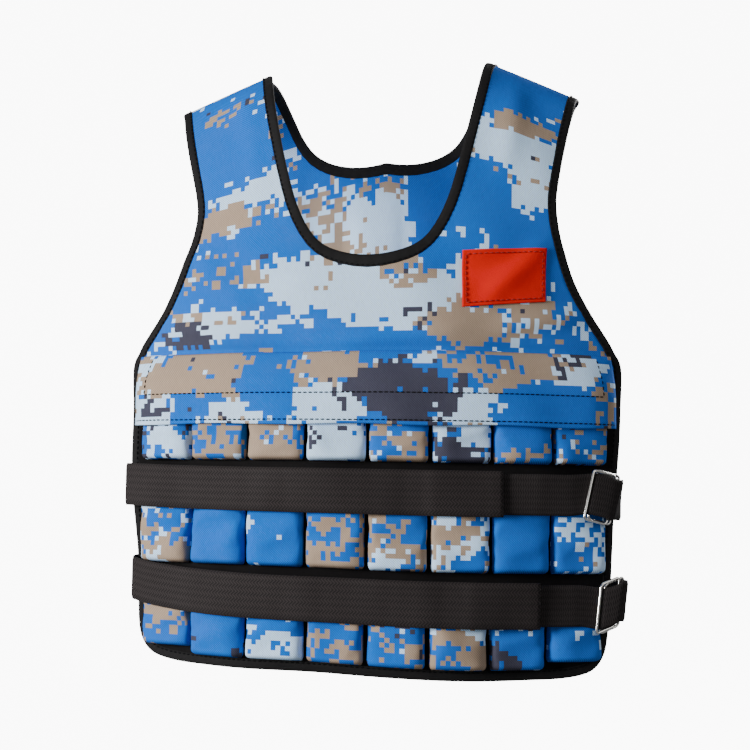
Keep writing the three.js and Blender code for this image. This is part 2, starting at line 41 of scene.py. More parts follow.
# cloth coordinates: across = round the body from the centre line,
# down = along the cloth from the shoulder crest
body = dict(
    halfWidth=0.242, drop=0.587, frontReach=0.092, backReach=0.112, wrapRadius=0.458,
    archRise=0.19, archDepth=0.065, archStretch=1.184, archSquare=2.5, crestFall=0.42, crestMid=0.628,
    hangLine=-0.562, hangLean=0.021, leanReach=0.1, cloth=0.003, gap=0.0003, hair=0.0001,
    bindingWidth=0.010, pitch=0.229, pocketFill=0.015, pocketSpace=0.005, columns=8,
    beltWidth=0.040, beltThick=0.0022, beltRoom=0.0009, lapRoom=0.00025, ringWire=0.0026,
)
halfWidth, drop, wrapRadius = body["halfWidth"], body["drop"], body["wrapRadius"]
archPath = body["archRise"] * body["archStretch"]
pitch = halfWidth * body["pitch"]
clothFace = body["cloth"] / 2
pocketBase = clothFace + body["gap"] + pitch * pitch / (32 * wrapRadius) + body["hair"] / 2
pocketTop = pocketBase + body["pocketFill"]
flapSag = pitch * pitch / (8 * wrapRadius)
flapUnder = pocketTop + flapSag + body["gap"] + 2 * body["hair"]
beltUnder = pocketTop + body["gap"] + body["beltRoom"]
beltOver = beltUnder + body["beltThick"] + body["gap"] + body["lapRoom"]

# free edge from the shoulder crest round the armhole, side and hem to the centre line, as shares
sideEdge = np.array([
    (0.826, 0.0), (0.81, 0.037), (0.793, 0.075), (0.775, 0.114), (0.756, 0.153), (0.737, 0.192),
    (0.716, 0.237), (0.71, 0.271), (0.726, 0.313), (0.753, 0.348), (0.792, 0.391), (0.861, 0.438),
    (0.925, 0.473), (0.962, 0.495), (1.0, 0.526), (0.993, 0.596), (0.984, 0.673), (0.967, 0.753),
    (0.95, 0.83), (0.941, 0.908), (0.93, 0.946), (0.91, 0.967), (0.876, 0.982), (0.826, 0.991),
    (0.735, 0.997), (0.62, 0.999), (0.455, 1.0), (0.229, 1.0), (0.0, 1.0)]) * (halfWidth, drop)
frontNeck = np.array([
    (0.446, 0.0), (0.428, 0.037), (0.41, 0.078), (0.389, 0.123), (0.364, 0.17), (0.331, 0.225),
    (0.289, 0.281), (0.24, 0.32), (0.182, 0.344), (0.099, 0.357), (0.0, 0.362)]) * (halfWidth, drop)
backNeck = np.array([
    (0.446, 0.0), (0.434, 0.02), (0.421, 0.04), (0.404, 0.064), (0.382, 0.09), (0.35, 0.122),
    (0.304, 0.15), (0.24, 0.17), (0.163, 0.183), (0.083, 0.19), (0.0, 0.192)]) * (halfWidth, drop)
neckRow, splitRow, cornerRow, lastRow = 10, 14, 22, 28

pocketRows = [
    dict(name="upper", top=0.527, bottom=0.678, spread=1.0, corner=1.0, short=0.0),
    dict(name="middle", top=0.686, bottom=0.842, spread=0.991, corner=1.0, short=0.0),
    dict(name="lower", top=0.85, bottom=0.979, spread=0.974, corner=2.1, short=0.012),
]
beltRows = [
    dict(name="upper", middle=0.7215, climb=0.006, end=0.482,
         ring=dict(topIn=0.823, topOut=0.92, footIn=0.779, footOut=0.872, head=0.683, slant=0.0085)),
    dict(name="lower", middle=0.886, climb=0.021, end=0.62,
         ring=dict(topIn=0.856, topOut=0.93, footIn=0.836, footOut=0.91, head=0.854, slant=-0.011)),
]


# the body surface

def archCurve(steps=400):
    # quarter of a superellipse |y|^n + |z|^n = 1, listed by its own run length with z stretched
    turn = np.linspace(0, math.pi / 2, steps + 1)
    c, s = np.cos(turn).clip(0), np.sin(turn)
    r = (c ** body["archSquare"] + s ** body["archSquare"]) ** (-1 / body["archSquare"])
    y, z = c * r, s * r
    stretched = np.diff(z) * body["archRise"] / body["archDepth"]
    run = np.concatenate([[0], np.cumsum(np.hypot(np.diff(y), stretched))])
    return run / run[-1], y, z


archRun, archY, archZ = archCurve()


def clothPoint(face, across, down):
    # x = R sin(across / R); y = reach less the wrap's fall; z runs straight down below the arch,
    # and follows the arch's own y and z shares above it
    turn = across / wrapRadius
    x = wrapRadius * np.sin(turn)
    reach = np.where(face < 0, body["frontReach"], body["backReach"]) - wrapRadius * (1 - np.cos(turn))
    share = np.clip(1 - down / archPath, 0, 1)
    y = face * reach * np.interp(share, archRun, archY)
    crest = -body["crestFall"] * (np.abs(x) - body["crestMid"] * halfWidth)
    inArch = -body["archRise"] + (crest + body["archRise"]) * np.interp(share, archRun, archZ)
    z = np.where(down >= archPath, -body["archRise"] - (down - archPath), inArch)
    line = body["hangLine"] * drop
    z = line + (z - line) * (1 + body["hangLean"] * np.tanh(x / body["leanReach"]))
    return np.stack([x, y, z], -1)


def outwardAt(face, across, down, step=0.002):
    # cross product of the step down and the step sideways on the surface, turned away from the body
    sideways = clothPoint(face, across + step, down) - clothPoint(face, across - step, down)
    downward = clothPoint(face, across, down + step) - clothPoint(face, across, np.maximum(down - step, 0))
    outward = np.cross(downward, sideways) * -face[..., None]
    return outward / np.linalg.norm(outward, axis=-1, keepdims=True)


folds = dict(
    # each fold: face, from (across, down) to (across, down), half width, height, all in metres
    lines=[
        (front, (-0.205, 0.268), (-0.105, 0.286), 0.008, 0.0022),
        (front, (-0.03, 0.288), (0.09, 0.279), 0.007, 0.0018),
        (front, (0.11, 0.276), (0.20, 0.262), 0.008, 0.0022),
        (front, (-0.17, 0.20), (-0.11, 0.262), 0.010, 0.0018),
        (front, (0.168, 0.19), (0.10, 0.255), 0.010, 0.0018),
        (front, (-0.13, 0.03), (-0.105, 0.15), 0.012, 0.0016),
        (front, (0.14, 0.02), (0.12, 0.14), 0.012, 0.0018),
        (front, (0.055, 0.23), (0.15, 0.21), 0.010, -0.0014),
        (front, (-0.07, 0.225), (-0.15, 0.235), 0.011, -0.0013),
        (front, (-0.22, 0.2945), (0.22, 0.2945), 0.0035, -0.0013),
        (back, (0.018, 0.13), (0.028, 0.29), 0.007, 0.0034),
        (back, (0.046, 0.13), (0.052, 0.28), 0.008, -0.0030),
        (back, (-0.045, 0.14), (-0.038, 0.28), 0.010, 0.0026),
        (back, (-0.10, 0.10), (-0.08, 0.25), 0.012, -0.0022),
        (back, (0.10, 0.09), (0.09, 0.26), 0.012, 0.0024),
        (back, (-0.19, 0.26), (-0.08, 0.285), 0.009, 0.0020),
        (back, (0.04, 0.286), (0.18, 0.268), 0.009, 0.0022),
    ],
    swell=0.0014, hem=0.0016, hemStart=0.8, strength=1.6, fadeIn=0.06,
    longWave=(29, 23), crossWave=(61, 47), hemWave=38,  # radians in a metre
)


def drape(face, across, down):
    # long crossed sine swells, plus one bell-shaped ridge or dip per fold line, all fading out at the crest
    (longAcross, longDown), (crossAcross, crossDown) = folds["longWave"], folds["crossWave"]
    lift = folds["swell"] * np.sin(across * longAcross + 1.1 + 1.3 * face)
    lift = lift * np.sin(down * longDown + 0.7 - 0.8 * face)
    lift += folds["swell"] * 0.5 * np.sin(across * crossAcross - down * crossDown + 2.0 * face)
    hemShare = np.clip((down / drop - folds["hemStart"]) / (1 - folds["hemStart"]), 0, 1)
    lift += folds["hem"] * np.sin(across * folds["hemWave"] + 0.6 * face) * hemShare ** 2
    for side, (a0, d0), (a1, d1), width, height in folds["lines"]:
        long = math.hypot(a1 - a0, d1 - d0)
        t = ((across - a0) * (a1 - a0) + (down - d0) * (d1 - d0)) / long ** 2
        off = ((across - a0) * (d1 - d0) - (down - d0) * (a1 - a0)) / long
        ends = np.exp(-np.maximum(np.abs(t - 0.5) * 2 - 0.55, 0) ** 2 * 6)
        lift += np.where(face == side, height, 0) * np.exp(-(off / width) ** 2) * ends
    return folds["strength"] * lift * np.clip(down / folds["fadeIn"], 0, 1) ** 2


def raised(face, across, down, lift):
    # point on the cloth plus (lift + drape) along the way out
    face, across, down, lift = np.broadcast_arrays(
        np.asarray(face, float), np.asarray(across, float), np.asarray(down, float), np.asarray(lift, float))
    moved = (lift + drape(face, across, down))[..., None]
    return clothPoint(face, across, down) + outwardAt(face, across, down) * moved


def smoothLine(rows, count, mirrorStart=None, mirrorEnd=None):
    # Catmull-Rom cubic through the rows; a mirrored row before or after makes it cross a centre line squarely
    p = np.asarray(rows, float)
    first = 2 * p[0] - p[1] if mirrorStart is None else p[1] * mirrorStart
    last = 2 * p[-1] - p[-2] if mirrorEnd is None else p[-2] * mirrorEnd
    p = np.concatenate([first[None], p, last[None]])
    t = np.linspace(0, len(rows) - 1, count)
    i = np.minimum(t.astype(int), len(rows) - 2)
    f = (t - i).reshape((-1,) + (1,) * (p.ndim - 1))
    a, b, c, d = p[i], p[i + 1], p[i + 2], p[i + 3]
    return b + 0.5 * f * (c - a + f * (2 * a - 5 * b + 4 * c - d + f * (3 * (b - c) + d - a)))


def insetLine(line, width, inward):
    # each point moves at right angles to the line, towards the cloth
    run = np.gradient(line, axis=0)
    run /= np.linalg.norm(run, axis=1, keepdims=True)
    moved = line + np.stack([-run[:, 1], run[:, 0]], 1) * width * inward
    moved[:, 0] = np.maximum(moved[:, 0], 0)
    moved[0, 1] = 0
    return moved


def tableLine(table, count):
    return smoothLine(table, count, mirrorStart=(1, -1), mirrorEnd=(-1, 1))


# meshes

def gridFaces(rows, columns, closeRows=False, closeColumns=False):
    # quads between neighbouring points of a grid, wrapped round where a side is closed
    i = np.arange(rows if closeRows else rows - 1)[:, None]
    j = np.arange(columns if closeColumns else columns - 1)[None, :]
    k, n = (i + 1) % rows, (j + 1) % columns
    return np.stack([i * columns + j, i * columns + n, k * columns + n, k * columns + j], -1).reshape(-1, 4)


def orient(points, quads, guide=None):
    # a closed shape is turned so that its volume is positive, an open one so that it agrees with the guide
    a, b, c, d = (points[quads[:, k]] for k in range(4))
    across = np.cross(c - a, d - b)
    score = (across * (a + b + c + d)).sum() if guide is None else (across * guide[quads[:, 0]]).sum()
    return quads if score > 0 else quads[:, ::-1]


def joined(parts):
    # parts are (points, quads, cloth) lists laid one after another
    offsets = np.cumsum([0] + [len(p[0]) for p in parts[:-1]])
    return (np.vstack([p[0] for p in parts]), np.vstack([p[1] + o for p, o in zip(parts, offsets)]),
            np.vstack([p[2] for p in parts]))


def welded(points, quads, cloth):
    # points that share a place become one
    _, first, place = np.unique(np.round(points, 6), axis=0, return_index=True, return_inverse=True)
    return points[first], place.reshape(-1)[quads], cloth[first]


def makePiece(name, points, quads, cloth, materials, nodes=(), slot=None, tones=None):
    mesh = bpy.data.meshes.new(name)
    mesh.from_pydata(np.asarray(points).tolist(), [], np.asarray(quads).tolist())
    corner = np.zeros(len(mesh.loops), np.int32)
    mesh.loops.foreach_get("vertex_index", corner)
    mesh.uv_layers.new(name="cloth").data.foreach_set("uv", np.asarray(cloth, np.float32)[corner].ravel())
    if tones is not None:
        field = mesh.attributes.new("tones", "FLOAT_VECTOR", "POINT")
        lean = np.asarray(np.broadcast_to(tones, (len(mesh.vertices), 3)), np.float32)
        field.data.foreach_set("vector", lean.ravel())
    mesh.polygons.foreach_set("use_smooth", np.ones(len(mesh.polygons), bool))
    for material in materials:
        mesh.materials.append(material)
    piece = bpy.data.objects.new(name, mesh)
    scene.collection.objects.link(piece)
    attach(piece, "root")
    if nodes:
        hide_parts(*nodes)
    return piece


def addModifier(piece, kind, **settings):
    modifier = piece.modifiers.new(kind.title(), kind)
    for key, value in settings.items():
        setattr(modifier, key, value)
    return modifier


def clothSheet(piece, thick, inside=0, rim=0):
    # the sheet gets its two sides and a closed rim; the inner side may take the next material
    addModifier(piece, "SOLIDIFY", thickness=thick, offset=0, material_offset=inside, material_offset_rim=rim)


# materials

def addNode(tree, kind, inputs=None, **settings):
    item = tree.nodes.new(kind)
    for key, value in settings.items():
        setattr(item, key, value)
    for key, value in (inputs or {}).items():
        if isinstance(value, bpy.types.NodeSocket):
            tree.links.new(value, item.inputs[key])
        else:
            item.inputs[key].default_value = value
    return item


def calc(tree, operation, a, b=0.0, c=0.0):
    return addNode(tree, "ShaderNodeMath", {0: a, 1: b, 2: c}, operation=operation).outputs[0]


def vectorCalc(tree, operation, a, b=(0, 0, 0)):
    return addNode(tree, "ShaderNodeVectorMath", {0: a, 1: b}, operation=operation).outputs[0]


def mixColour(tree, amount, a, b, blend="MIX"):
    item = addNode(tree, "ShaderNodeMix", {0: amount, 6: a, 7: b}, data_type="RGBA", blend_type=blend)
    return item.outputs[2]


def noise(tree, place, scale, detail=2.0, rough=0.5):
    inputs = {"Vector": place, "Scale": scale, "Detail": detail, "Roughness": rough}
    return addNode(tree, "ShaderNodeTexNoise", inputs)


def newGroup(name, inputs, outputs):
    group = bpy.data.node_groups.new(name, "ShaderNodeTree")
    for label, kind, value in inputs:
        socket = group.interface.new_socket(name=label, in_out="INPUT", socket_type="NodeSocket" + kind)
        if value is not None:
            socket.default_value = value
    for label, kind in outputs:
        group.interface.new_socket(name=label, in_out="OUTPUT", socket_type="NodeSocket" + kind)
    return group, group.nodes.new("NodeGroupInput").outputs, group.nodes.new("NodeGroupOutput").inputs


def useGroup(tree, group, inputs):
    return addNode(tree, "ShaderNodeGroup", inputs, node_tree=group).outputs


def paint(red, green, blue):
    # display values of 0 to 255 as linear light
    part = np.array([red, green, blue]) / 255
    part = np.where(part <= 0.04045, part / 12.92, ((part + 0.055) / 1.055) ** 2.4)
    return (*part.tolist(), 1.0)


def softBlobGroup():
    # 1 in the middle of an ellipse, 0 on its edge and below 0 outside
    tree, given, result = newGroup("softBlob", [("Place", "Vector", None), ("Middle", "Vector", (0, 0, 0)),
                                                ("Reach", "Vector", (0.1, 0.1, 1))], [("Nearness", "Float")])
    away = vectorCalc(tree, "SUBTRACT", given["Place"], given["Middle"])
    gap = vectorCalc(tree, "DIVIDE", away, given["Reach"])
    far = addNode(tree, "ShaderNodeVectorMath", {0: gap}, operation="LENGTH").outputs["Value"]
    tree.links.new(calc(tree, "SUBTRACT", 1.0, far), result["Nearness"])
    return tree


def randomPart(tree, place):
    return addNode(tree, "ShaderNodeTexWhiteNoise", {"Vector": place}, noise_dimensions="2D").outputs["Value"]


def squareCellsGroup():
    # cloth coordinates cut into square cells, with an even random number for each small and each double cell
    tree, given, result = newGroup("squareCells", [("Cloth", "Vector", None), ("Cell", "Float", 0.0045)],
                                   [("Middle", "Vector"), ("Small", "Float"), ("Double", "Float")])
    cell = addNode(tree, "ShaderNodeCombineXYZ", {0: given["Cell"], 1: given["Cell"], 2: 1.0}).outputs[0]
    index = vectorCalc(tree, "FLOOR", vectorCalc(tree, "DIVIDE", given["Cloth"], cell))
    centre = vectorCalc(tree, "ADD", index, (0.5, 0.5, 0))
    tree.links.new(vectorCalc(tree, "MULTIPLY", centre, cell), result["Middle"])
    tree.links.new(randomPart(tree, index), result["Small"])
    wide = vectorCalc(tree, "FLOOR", vectorCalc(tree, "DIVIDE", index, (2.0, 2.0, 1.0)))
    wide = vectorCalc(tree, "ADD", wide, (311.0, 97.0, 0.0))
    tree.links.new(randomPart(tree, wide), result["Double"])
    return tree


mottle = dict(
    stretch=(13.0, 24.0, 1.0), detail=3.4, rough=0.68,  # noise cells in a metre, across and along the cloth
    tones=(("Pale", (0.0, 0.0, 0.0), 0.56), ("Tan", (3.1, 1.7, 0.0), 0.60), ("Dark", (7.3, 4.9, 0.0), 0.65)),
)


def camouflageGroup():
    # four cloth colours; each of the three upper ones shows where its stretched noise
    # plus its lean passes a level
    tree, given, result = newGroup(
        "camouflageColours",
        [("Middle", "Vector", None), ("Small", "Float", 0.5), ("Double", "Float", 0.5),
         ("Tones", "Vector", (0, 0, 0)),
         ("Blue", "Color", (0, 0, 1, 1)), ("Pale", "Color", (1, 1, 1, 1)), ("Tan", "Color", (1, 1, 0, 1)),
         ("Dark", "Color", (0, 0, 0, 1)), ("Scatter", "Float", 0.2)], [("Colour", "Color")])
    lean = addNode(tree, "ShaderNodeSeparateXYZ", {0: given["Tones"]}).outputs
    colour = given["Blue"]
    for key, (tone, shift, level) in enumerate(mottle["tones"]):
        moved = vectorCalc(tree, "ADD", given["Middle"], shift)
        place = vectorCalc(tree, "MULTIPLY", moved, mottle["stretch"])
        field = noise(tree, place, 1.0, mottle["detail"], mottle["rough"]).outputs[0]
        small = calc(tree, "FRACT", calc(tree, "MULTIPLY", given["Small"], 1.0 + 7.31 * key))
        double = calc(tree, "FRACT", calc(tree, "MULTIPLY", given["Double"], 1.0 + 5.17 * key))
        both = calc(tree, "SUBTRACT", calc(tree, "ADD", small, double), 1.0)
        ragged = calc(tree, "MULTIPLY", both, given["Scatter"])
        total = calc(tree, "ADD", calc(tree, "ADD", field, ragged), lean[key])
        colour = mixColour(tree, calc(tree, "GREATER_THAN", total, level), colour, given[tone])
    tree.links.new(colour, result["Colour"])
    return tree


twill = dict(ridge=0.35, cross=0.15, streaks=(900.0, 120.0, 1.0))


def twillGroup():
    # slanted ridges: sine of (u + v) / pitch, broken into threads by the sine of (u - v)
    tree, given, result = newGroup("twillWeave", [("Cloth", "Vector", None), ("Pitch", "Float", 0.001)],
                                   [("Height", "Float"), ("Thread", "Float")])
    part = addNode(tree, "ShaderNodeSeparateXYZ", {0: given["Cloth"]}).outputs
    turn = calc(tree, "DIVIDE", 2 * math.pi, given["Pitch"])
    ridge = calc(tree, "SINE", calc(tree, "MULTIPLY", calc(tree, "ADD", part[0], part[1]), turn))
    thread = calc(tree, "SINE", calc(tree, "MULTIPLY", calc(tree, "SUBTRACT", part[0], part[1]), turn))
    height = calc(tree, "ADD", calc(tree, "MULTIPLY", ridge, twill["ridge"]),
                  calc(tree, "MULTIPLY", thread, twill["cross"]))
    tree.links.new(calc(tree, "ADD", height, 0.5), result["Height"])
    drawn = vectorCalc(tree, "MULTIPLY", given["Cloth"], twill["streaks"])
    streaks = addNode(tree, "ShaderNodeTexNoise", {"Vector": drawn, "Scale": 1.0}).outputs[0]
    tree.links.new(streaks, result["Thread"])
    return tree


def dustGroup():
    # soft patches of lint and rubbed cloth, from large noise thinned by fine noise
    inputs = [("Place", "Vector", None), ("Amount", "Float", 0.3)]
    tree, given, result = newGroup("dustAndWear", inputs, [("Mask", "Float")])
    large = noise(tree, given["Place"], 14.0, detail=4.0, rough=0.6).outputs[0]
    fine = noise(tree, given["Place"], 420.0, detail=2.0).outputs[0]
    mask = calc(tree, "MULTIPLY", calc(tree, "MULTIPLY", large, large), calc(tree, "ADD", fine, 0.45))
    tree.links.new(calc(tree, "MULTIPLY", mask, given["Amount"]), result["Mask"])
    return tree


softBlob, squareCells, camouflageColours = softBlobGroup(), squareCellsGroup(), camouflageGroup()
twillWeave, dustAndWear = twillGroup(), dustGroup()

camouflage = dict(
    cell=0.0043, scatter=0.13, blue=paint(0, 98, 194), pale=paint(196, 226, 255), tan=paint(160, 139, 119),
    dark=paint(58, 58, 74), roughness=0.82, weave=0.0021,
    firm=dict(pale=0.72, tan=0.5, dark=0.62, blue=0.7),
    # the two weave numbers set painted shade: the colour is multiplied by 0.6 in the weave's grooves, rising by
    # 0.8 towards its ridges
    dust=0.05, weaveShadeFloor=0.60, weaveShadeRise=0.8, streak=0.35, specular=0.12,
    # colour, across, height up the cloth, half width, half height, strength
    shoulders=[
        ("tan", 1.305, 0.262, 0.035, 0.045, 0.34), ("pale", 1.352, 0.246, 0.060, 0.040, 0.34),
        ("blue", 1.440, 0.275, 0.055, 0.055, 0.30), ("pale", 1.225, 0.330, 0.040, 0.050, 0.30),
        ("tan", 1.500, 0.180, 0.050, 0.025, 0.34), ("dark", 1.300, 0.160, 0.050, 0.020, 0.34),
    ],
    chest=[
        ("pale", -0.010, -0.235, 0.135, 0.034, 0.30), ("pale", 0.075, -0.262, 0.12, 0.030, 0.30),
        ("pale", -0.115, -0.157, 0.065, 0.030, 0.30), ("pale", -0.13, -0.27, 0.09, 0.018, 0.25),
        ("pale", 0.12, -0.112, 0.050, 0.022, 0.34), ("pale", 0.15, -0.140, 0.03, 0.045, 0.30),
        ("tan", -0.145, -0.175, 0.048, 0.024, 0.34), ("tan", 0.03, -0.225, 0.035, 0.018, 0.34),
        ("tan", 0.12, -0.268, 0.110, 0.026, 0.42), ("tan", 0.135, -0.090, 0.045, 0.014, 0.36),
        ("tan", -0.140, -0.062, 0.030, 0.020, 0.36), ("tan", -0.15, -0.262, 0.05, 0.012, 0.30),
        ("dark", -0.175, -0.278, 0.045, 0.018, 0.34), ("dark", 0.10, -0.285, 0.020, 0.008, 0.20),
        ("tan", -0.145, -0.346, 0.075, 0.034, 0.40), ("tan", -0.045, -0.340, 0.050, 0.026, 0.38),
        ("tan", 0.125, -0.342, 0.070, 0.026, 0.40), ("tan", 0.205, -0.375, 0.025, 0.030, 0.34),
        ("pale", -0.205, -0.365, 0.035, 0.050, 0.34), ("pale", -0.115, -0.386, 0.040, 0.018, 0.34),
        ("pale", -0.038, -0.377, 0.040, 0.028, 0.36), ("pale", 0.085, -0.380, 0.045, 0.024, 0.34),
        ("pale", 0.188, -0.342, 0.030, 0.026, 0.34), ("dark", 0.030, -0.366, 0.078, 0.034, 0.44),
        ("blue", -0.09, -0.365, 0.028, 0.040, 0.30), ("blue", 0.155, -0.378, 0.07, 0.026, 0.34),
        ("blue", -0.15, -0.105, 0.06, 0.04, 0.30), ("blue", 0.14, -0.035, 0.06, 0.04, 0.34),
        ("blue", 0.05, -0.150, 0.09, 0.045, 0.24),
        ("blue", 0.175, -0.20, 0.05, 0.05, 0.24), ("blue", -0.05, -0.285, 0.10, 0.016, 0.24),
    ],
)


def camouflageCloth(name, blobs=()):
    # square cells of four colours, leaning to one colour inside each soft blob, with painted shade from the
    # weave: darker in its grooves and lighter on its ridges
    material = bpy.data.materials.new(name)
    material.use_nodes = True
    tree = material.node_tree
    shader = tree.nodes["Principled BSDF"]
    cloth = addNode(tree, "ShaderNodeUVMap", uv_map="cloth").outputs[0]
    cells = useGroup(tree, squareCells, {"Cloth": cloth, "Cell": camouflage["cell"]})
    tones = addNode(tree, "ShaderNodeAttribute", attribute_name="tones").outputs["Vector"]
    sign = dict(pale=(1, 0, 0), tan=(0, 1, 0), dark=(0, 0, 1), blue=(-1, -0.8, -0.8))
    for tone, across, up, wide, tall, strength in blobs:
        blob = {"Place": cells["Middle"], "Middle": (across, up, 0), "Reach": (wide, tall, 1.0)}
        near = useGroup(tree, softBlob, blob)
        near = addNode(tree, "ShaderNodeClamp", {0: near["Nearness"], 1: 0.0, 2: 0.5}).outputs[0]
        push = tuple(strength * 2 * camouflage["firm"][tone] * part for part in sign[tone])
        scaled = addNode(tree, "ShaderNodeVectorMath", {0: push, "Scale": near}, operation="SCALE").outputs[0]
        tones = vectorCalc(tree, "ADD", tones, scaled)
    colour = useGroup(tree, camouflageColours, {
        "Middle": cells["Middle"], "Small": cells["Small"], "Double": cells["Double"], "Tones": tones,
        "Scatter": camouflage["scatter"], "Blue": camouflage["blue"], "Pale": camouflage["pale"],
        "Tan": camouflage["tan"], "Dark": camouflage["dark"]})["Colour"]
    weave = useGroup(tree, twillWeave, {"Cloth": cloth, "Pitch": camouflage["weave"]})
    place = addNode(tree, "ShaderNodeTexCoord").outputs["Object"]
    wear = useGroup(tree, dustAndWear, {"Place": place, "Amount": camouflage["dust"]})["Mask"]
    # painted shade and highlight: the colour is multiplied by the weave's height, darker in the grooves and
    # lighter on the ridges; the thread streaks added to it are real tone
    shade = calc(tree, "MULTIPLY", weave["Height"], camouflage["weaveShadeRise"])
    shade = calc(tree, "ADD", shade, camouflage["weaveShadeFloor"])
    streak = calc(tree, "MULTIPLY", calc(tree, "SUBTRACT", weave["Thread"], 0.5), camouflage["streak"])
    shade = calc(tree, "ADD", shade, streak)
    grey = addNode(tree, "ShaderNodeCombineColor", {0: shade, 1: shade, 2: shade}).outputs[0]
    weaveShaded = mixColour(tree, 1.0, colour, grey, "MULTIPLY")
    tree.links.new(mixColour(tree, wear, weaveShaded, paint(214, 212, 208)), shader.inputs["Base Color"])
    rough = calc(tree, "ADD", calc(tree, "MULTIPLY", weave["Height"], 0.08), camouflage["roughness"] - 0.04)
    tree.links.new(rough, shader.inputs["Roughness"])
    bump = addNode(tree, "ShaderNodeBump", {"Height": weave["Height"], "Distance": 0.00025, "Strength": 0.6})
    tree.links.new(bump.outputs[0], shader.inputs["Normal"])
    shader.inputs["Specular IOR Level"].default_value = camouflage["specular"]
    return material


plain = dict(dim=0.55, streak=0.25, polish=0.12, strength=0.8, sheenRoughness=0.4)


def plainWeave(name, colour, dustColour, roughness, weavePitch, dust=0.06, sheen=0.03, specular=0.3,
               depth=0.0002):
    # one colour in twill: a dim copy of it is painted shade between its ridges, and also the real darker tone
    # of some of its threads
    material = bpy.data.materials.new(name)
    material.use_nodes = True
    tree = material.node_tree
    shader = tree.nodes["Principled BSDF"]
    cloth = addNode(tree, "ShaderNodeUVMap", uv_map="cloth").outputs[0]
    weave = useGroup(tree, twillWeave, {"Cloth": cloth, "Pitch": weavePitch})
    place = addNode(tree, "ShaderNodeTexCoord").outputs["Object"]
    wear = useGroup(tree, dustAndWear, {"Place": place, "Amount": dust})["Mask"]
    # painted shade: the dim copy fills the weave's grooves, the ridges keep the full colour; the second mix
    # darkens some threads as their own tone
    dim = tuple(plain["dim"] * part for part in colour[:3]) + (1.0,)
    weaveShaded = mixColour(tree, weave["Height"], dim, colour)
    weaveShaded = mixColour(tree, calc(tree, "MULTIPLY", weave["Thread"], plain["streak"]), weaveShaded, dim)
    tree.links.new(mixColour(tree, wear, weaveShaded, dustColour), shader.inputs["Base Color"])
    polish = calc(tree, "MULTIPLY", weave["Height"], plain["polish"])
    rough = calc(tree, "SUBTRACT", roughness + plain["polish"] / 2, polish)
    tree.links.new(rough, shader.inputs["Roughness"])
    bump = addNode(tree, "ShaderNodeBump", {
        "Height": weave["Height"], "Distance": depth, "Strength": plain["strength"]})
    tree.links.new(bump.outputs[0], shader.inputs["Normal"])
    shader.inputs["Specular IOR Level"].default_value = specular
    shader.inputs["Sheen Weight"].default_value = sheen
    shader.inputs["Sheen Roughness"].default_value = plain["sheenRoughness"]
    return material


webbing = dict(ribHeight=0.40, cordHeight=0.10, dust=0.06, dim=0.12, roughness=0.85, polish=0.15,
               relief=0.0004, strength=0.8, specular=0.2, sheen=0.02)


def elasticWebbing(name, colour, dustColour, ribPitch, zigzag, cordPitch):
    # rows of ribs across the belt, each bent into a zigzag between the rubber cords that run along it; a dim
    # copy of the colour is painted shade in the grooves between ribs and cords
    material = bpy.data.materials.new(name)
    material.use_nodes = True
    tree = material.node_tree
    shader = tree.nodes["Principled BSDF"]
    cloth = addNode(tree, "ShaderNodeUVMap", uv_map="cloth").outputs[0]
    part = addNode(tree, "ShaderNodeSeparateXYZ", {0: cloth}).outputs
    bend = calc(tree, "PINGPONG", part[1], cordPitch)
    along = calc(tree, "ADD", part[0], calc(tree, "MULTIPLY", bend, zigzag))
    rib = calc(tree, "SINE", calc(tree, "MULTIPLY", along, 2 * math.pi / ribPitch))
    cord = calc(tree, "SINE", calc(tree, "MULTIPLY", part[1], math.pi / cordPitch))
    height = calc(tree, "MULTIPLY", rib, webbing["ribHeight"])
    height = calc(tree, "ADD", height, calc(tree, "MULTIPLY", cord, webbing["cordHeight"]))
    height = calc(tree, "ADD", height, 0.5)
    place = addNode(tree, "ShaderNodeTexCoord").outputs["Object"]
    wear = useGroup(tree, dustAndWear, {"Place": place, "Amount": webbing["dust"]})["Mask"]
    # painted shade: the dim copy lies in the grooves, the ribs and cords keep the full colour as if lit
    dim = tuple(webbing["dim"] * part for part in colour[:3]) + (1.0,)
    weaveShaded = mixColour(tree, height, dim, colour)
    tree.links.new(mixColour(tree, wear, weaveShaded, dustColour), shader.inputs["Base Color"])
    rough = calc(tree, "SUBTRACT", webbing["roughness"], calc(tree, "MULTIPLY", height, webbing["polish"]))
    tree.links.new(rough, shader.inputs["Roughness"])
    bump = addNode(tree, "ShaderNodeBump", {
        "Height": height, "Distance": webbing["relief"], "Strength": webbing["strength"]})
    tree.links.new(bump.outputs[0], shader.inputs["Normal"])
    shader.inputs["Specular IOR Level"].default_value = webbing["specular"]
    shader.inputs["Sheen Weight"].default_value = webbing["sheen"]
    return material


def brightWire(name):
    # bright plating with fine draw lines and a few dull spots
    material = bpy.data.materials.new(name)
    material.use_nodes = True
    tree = material.node_tree
    shader = tree.nodes["Principled BSDF"]
    place = addNode(tree, "ShaderNodeTexCoord").outputs["Object"]
    fine = noise(tree, place, 900.0, detail=3.0).outputs[0]
    large = noise(tree, place, 70.0, detail=3.0).outputs[0]
    rough = calc(tree, "ADD", calc(tree, "MULTIPLY", large, 0.16), 0.06)
    tree.links.new(calc(tree, "ADD", rough, calc(tree, "MULTIPLY", fine, 0.05)), shader.inputs["Roughness"])
    plating = mixColour(tree, large, paint(252, 250, 246), paint(226, 222, 214))
    tree.links.new(plating, shader.inputs["Base Color"])
    bump = addNode(tree, "ShaderNodeBump", {"Height": fine, "Distance": 0.00003, "Strength": 0.4})
    tree.links.new(bump.outputs[0], shader.inputs["Normal"])
    shader.inputs["Metallic"].default_value = 1.0
    return material


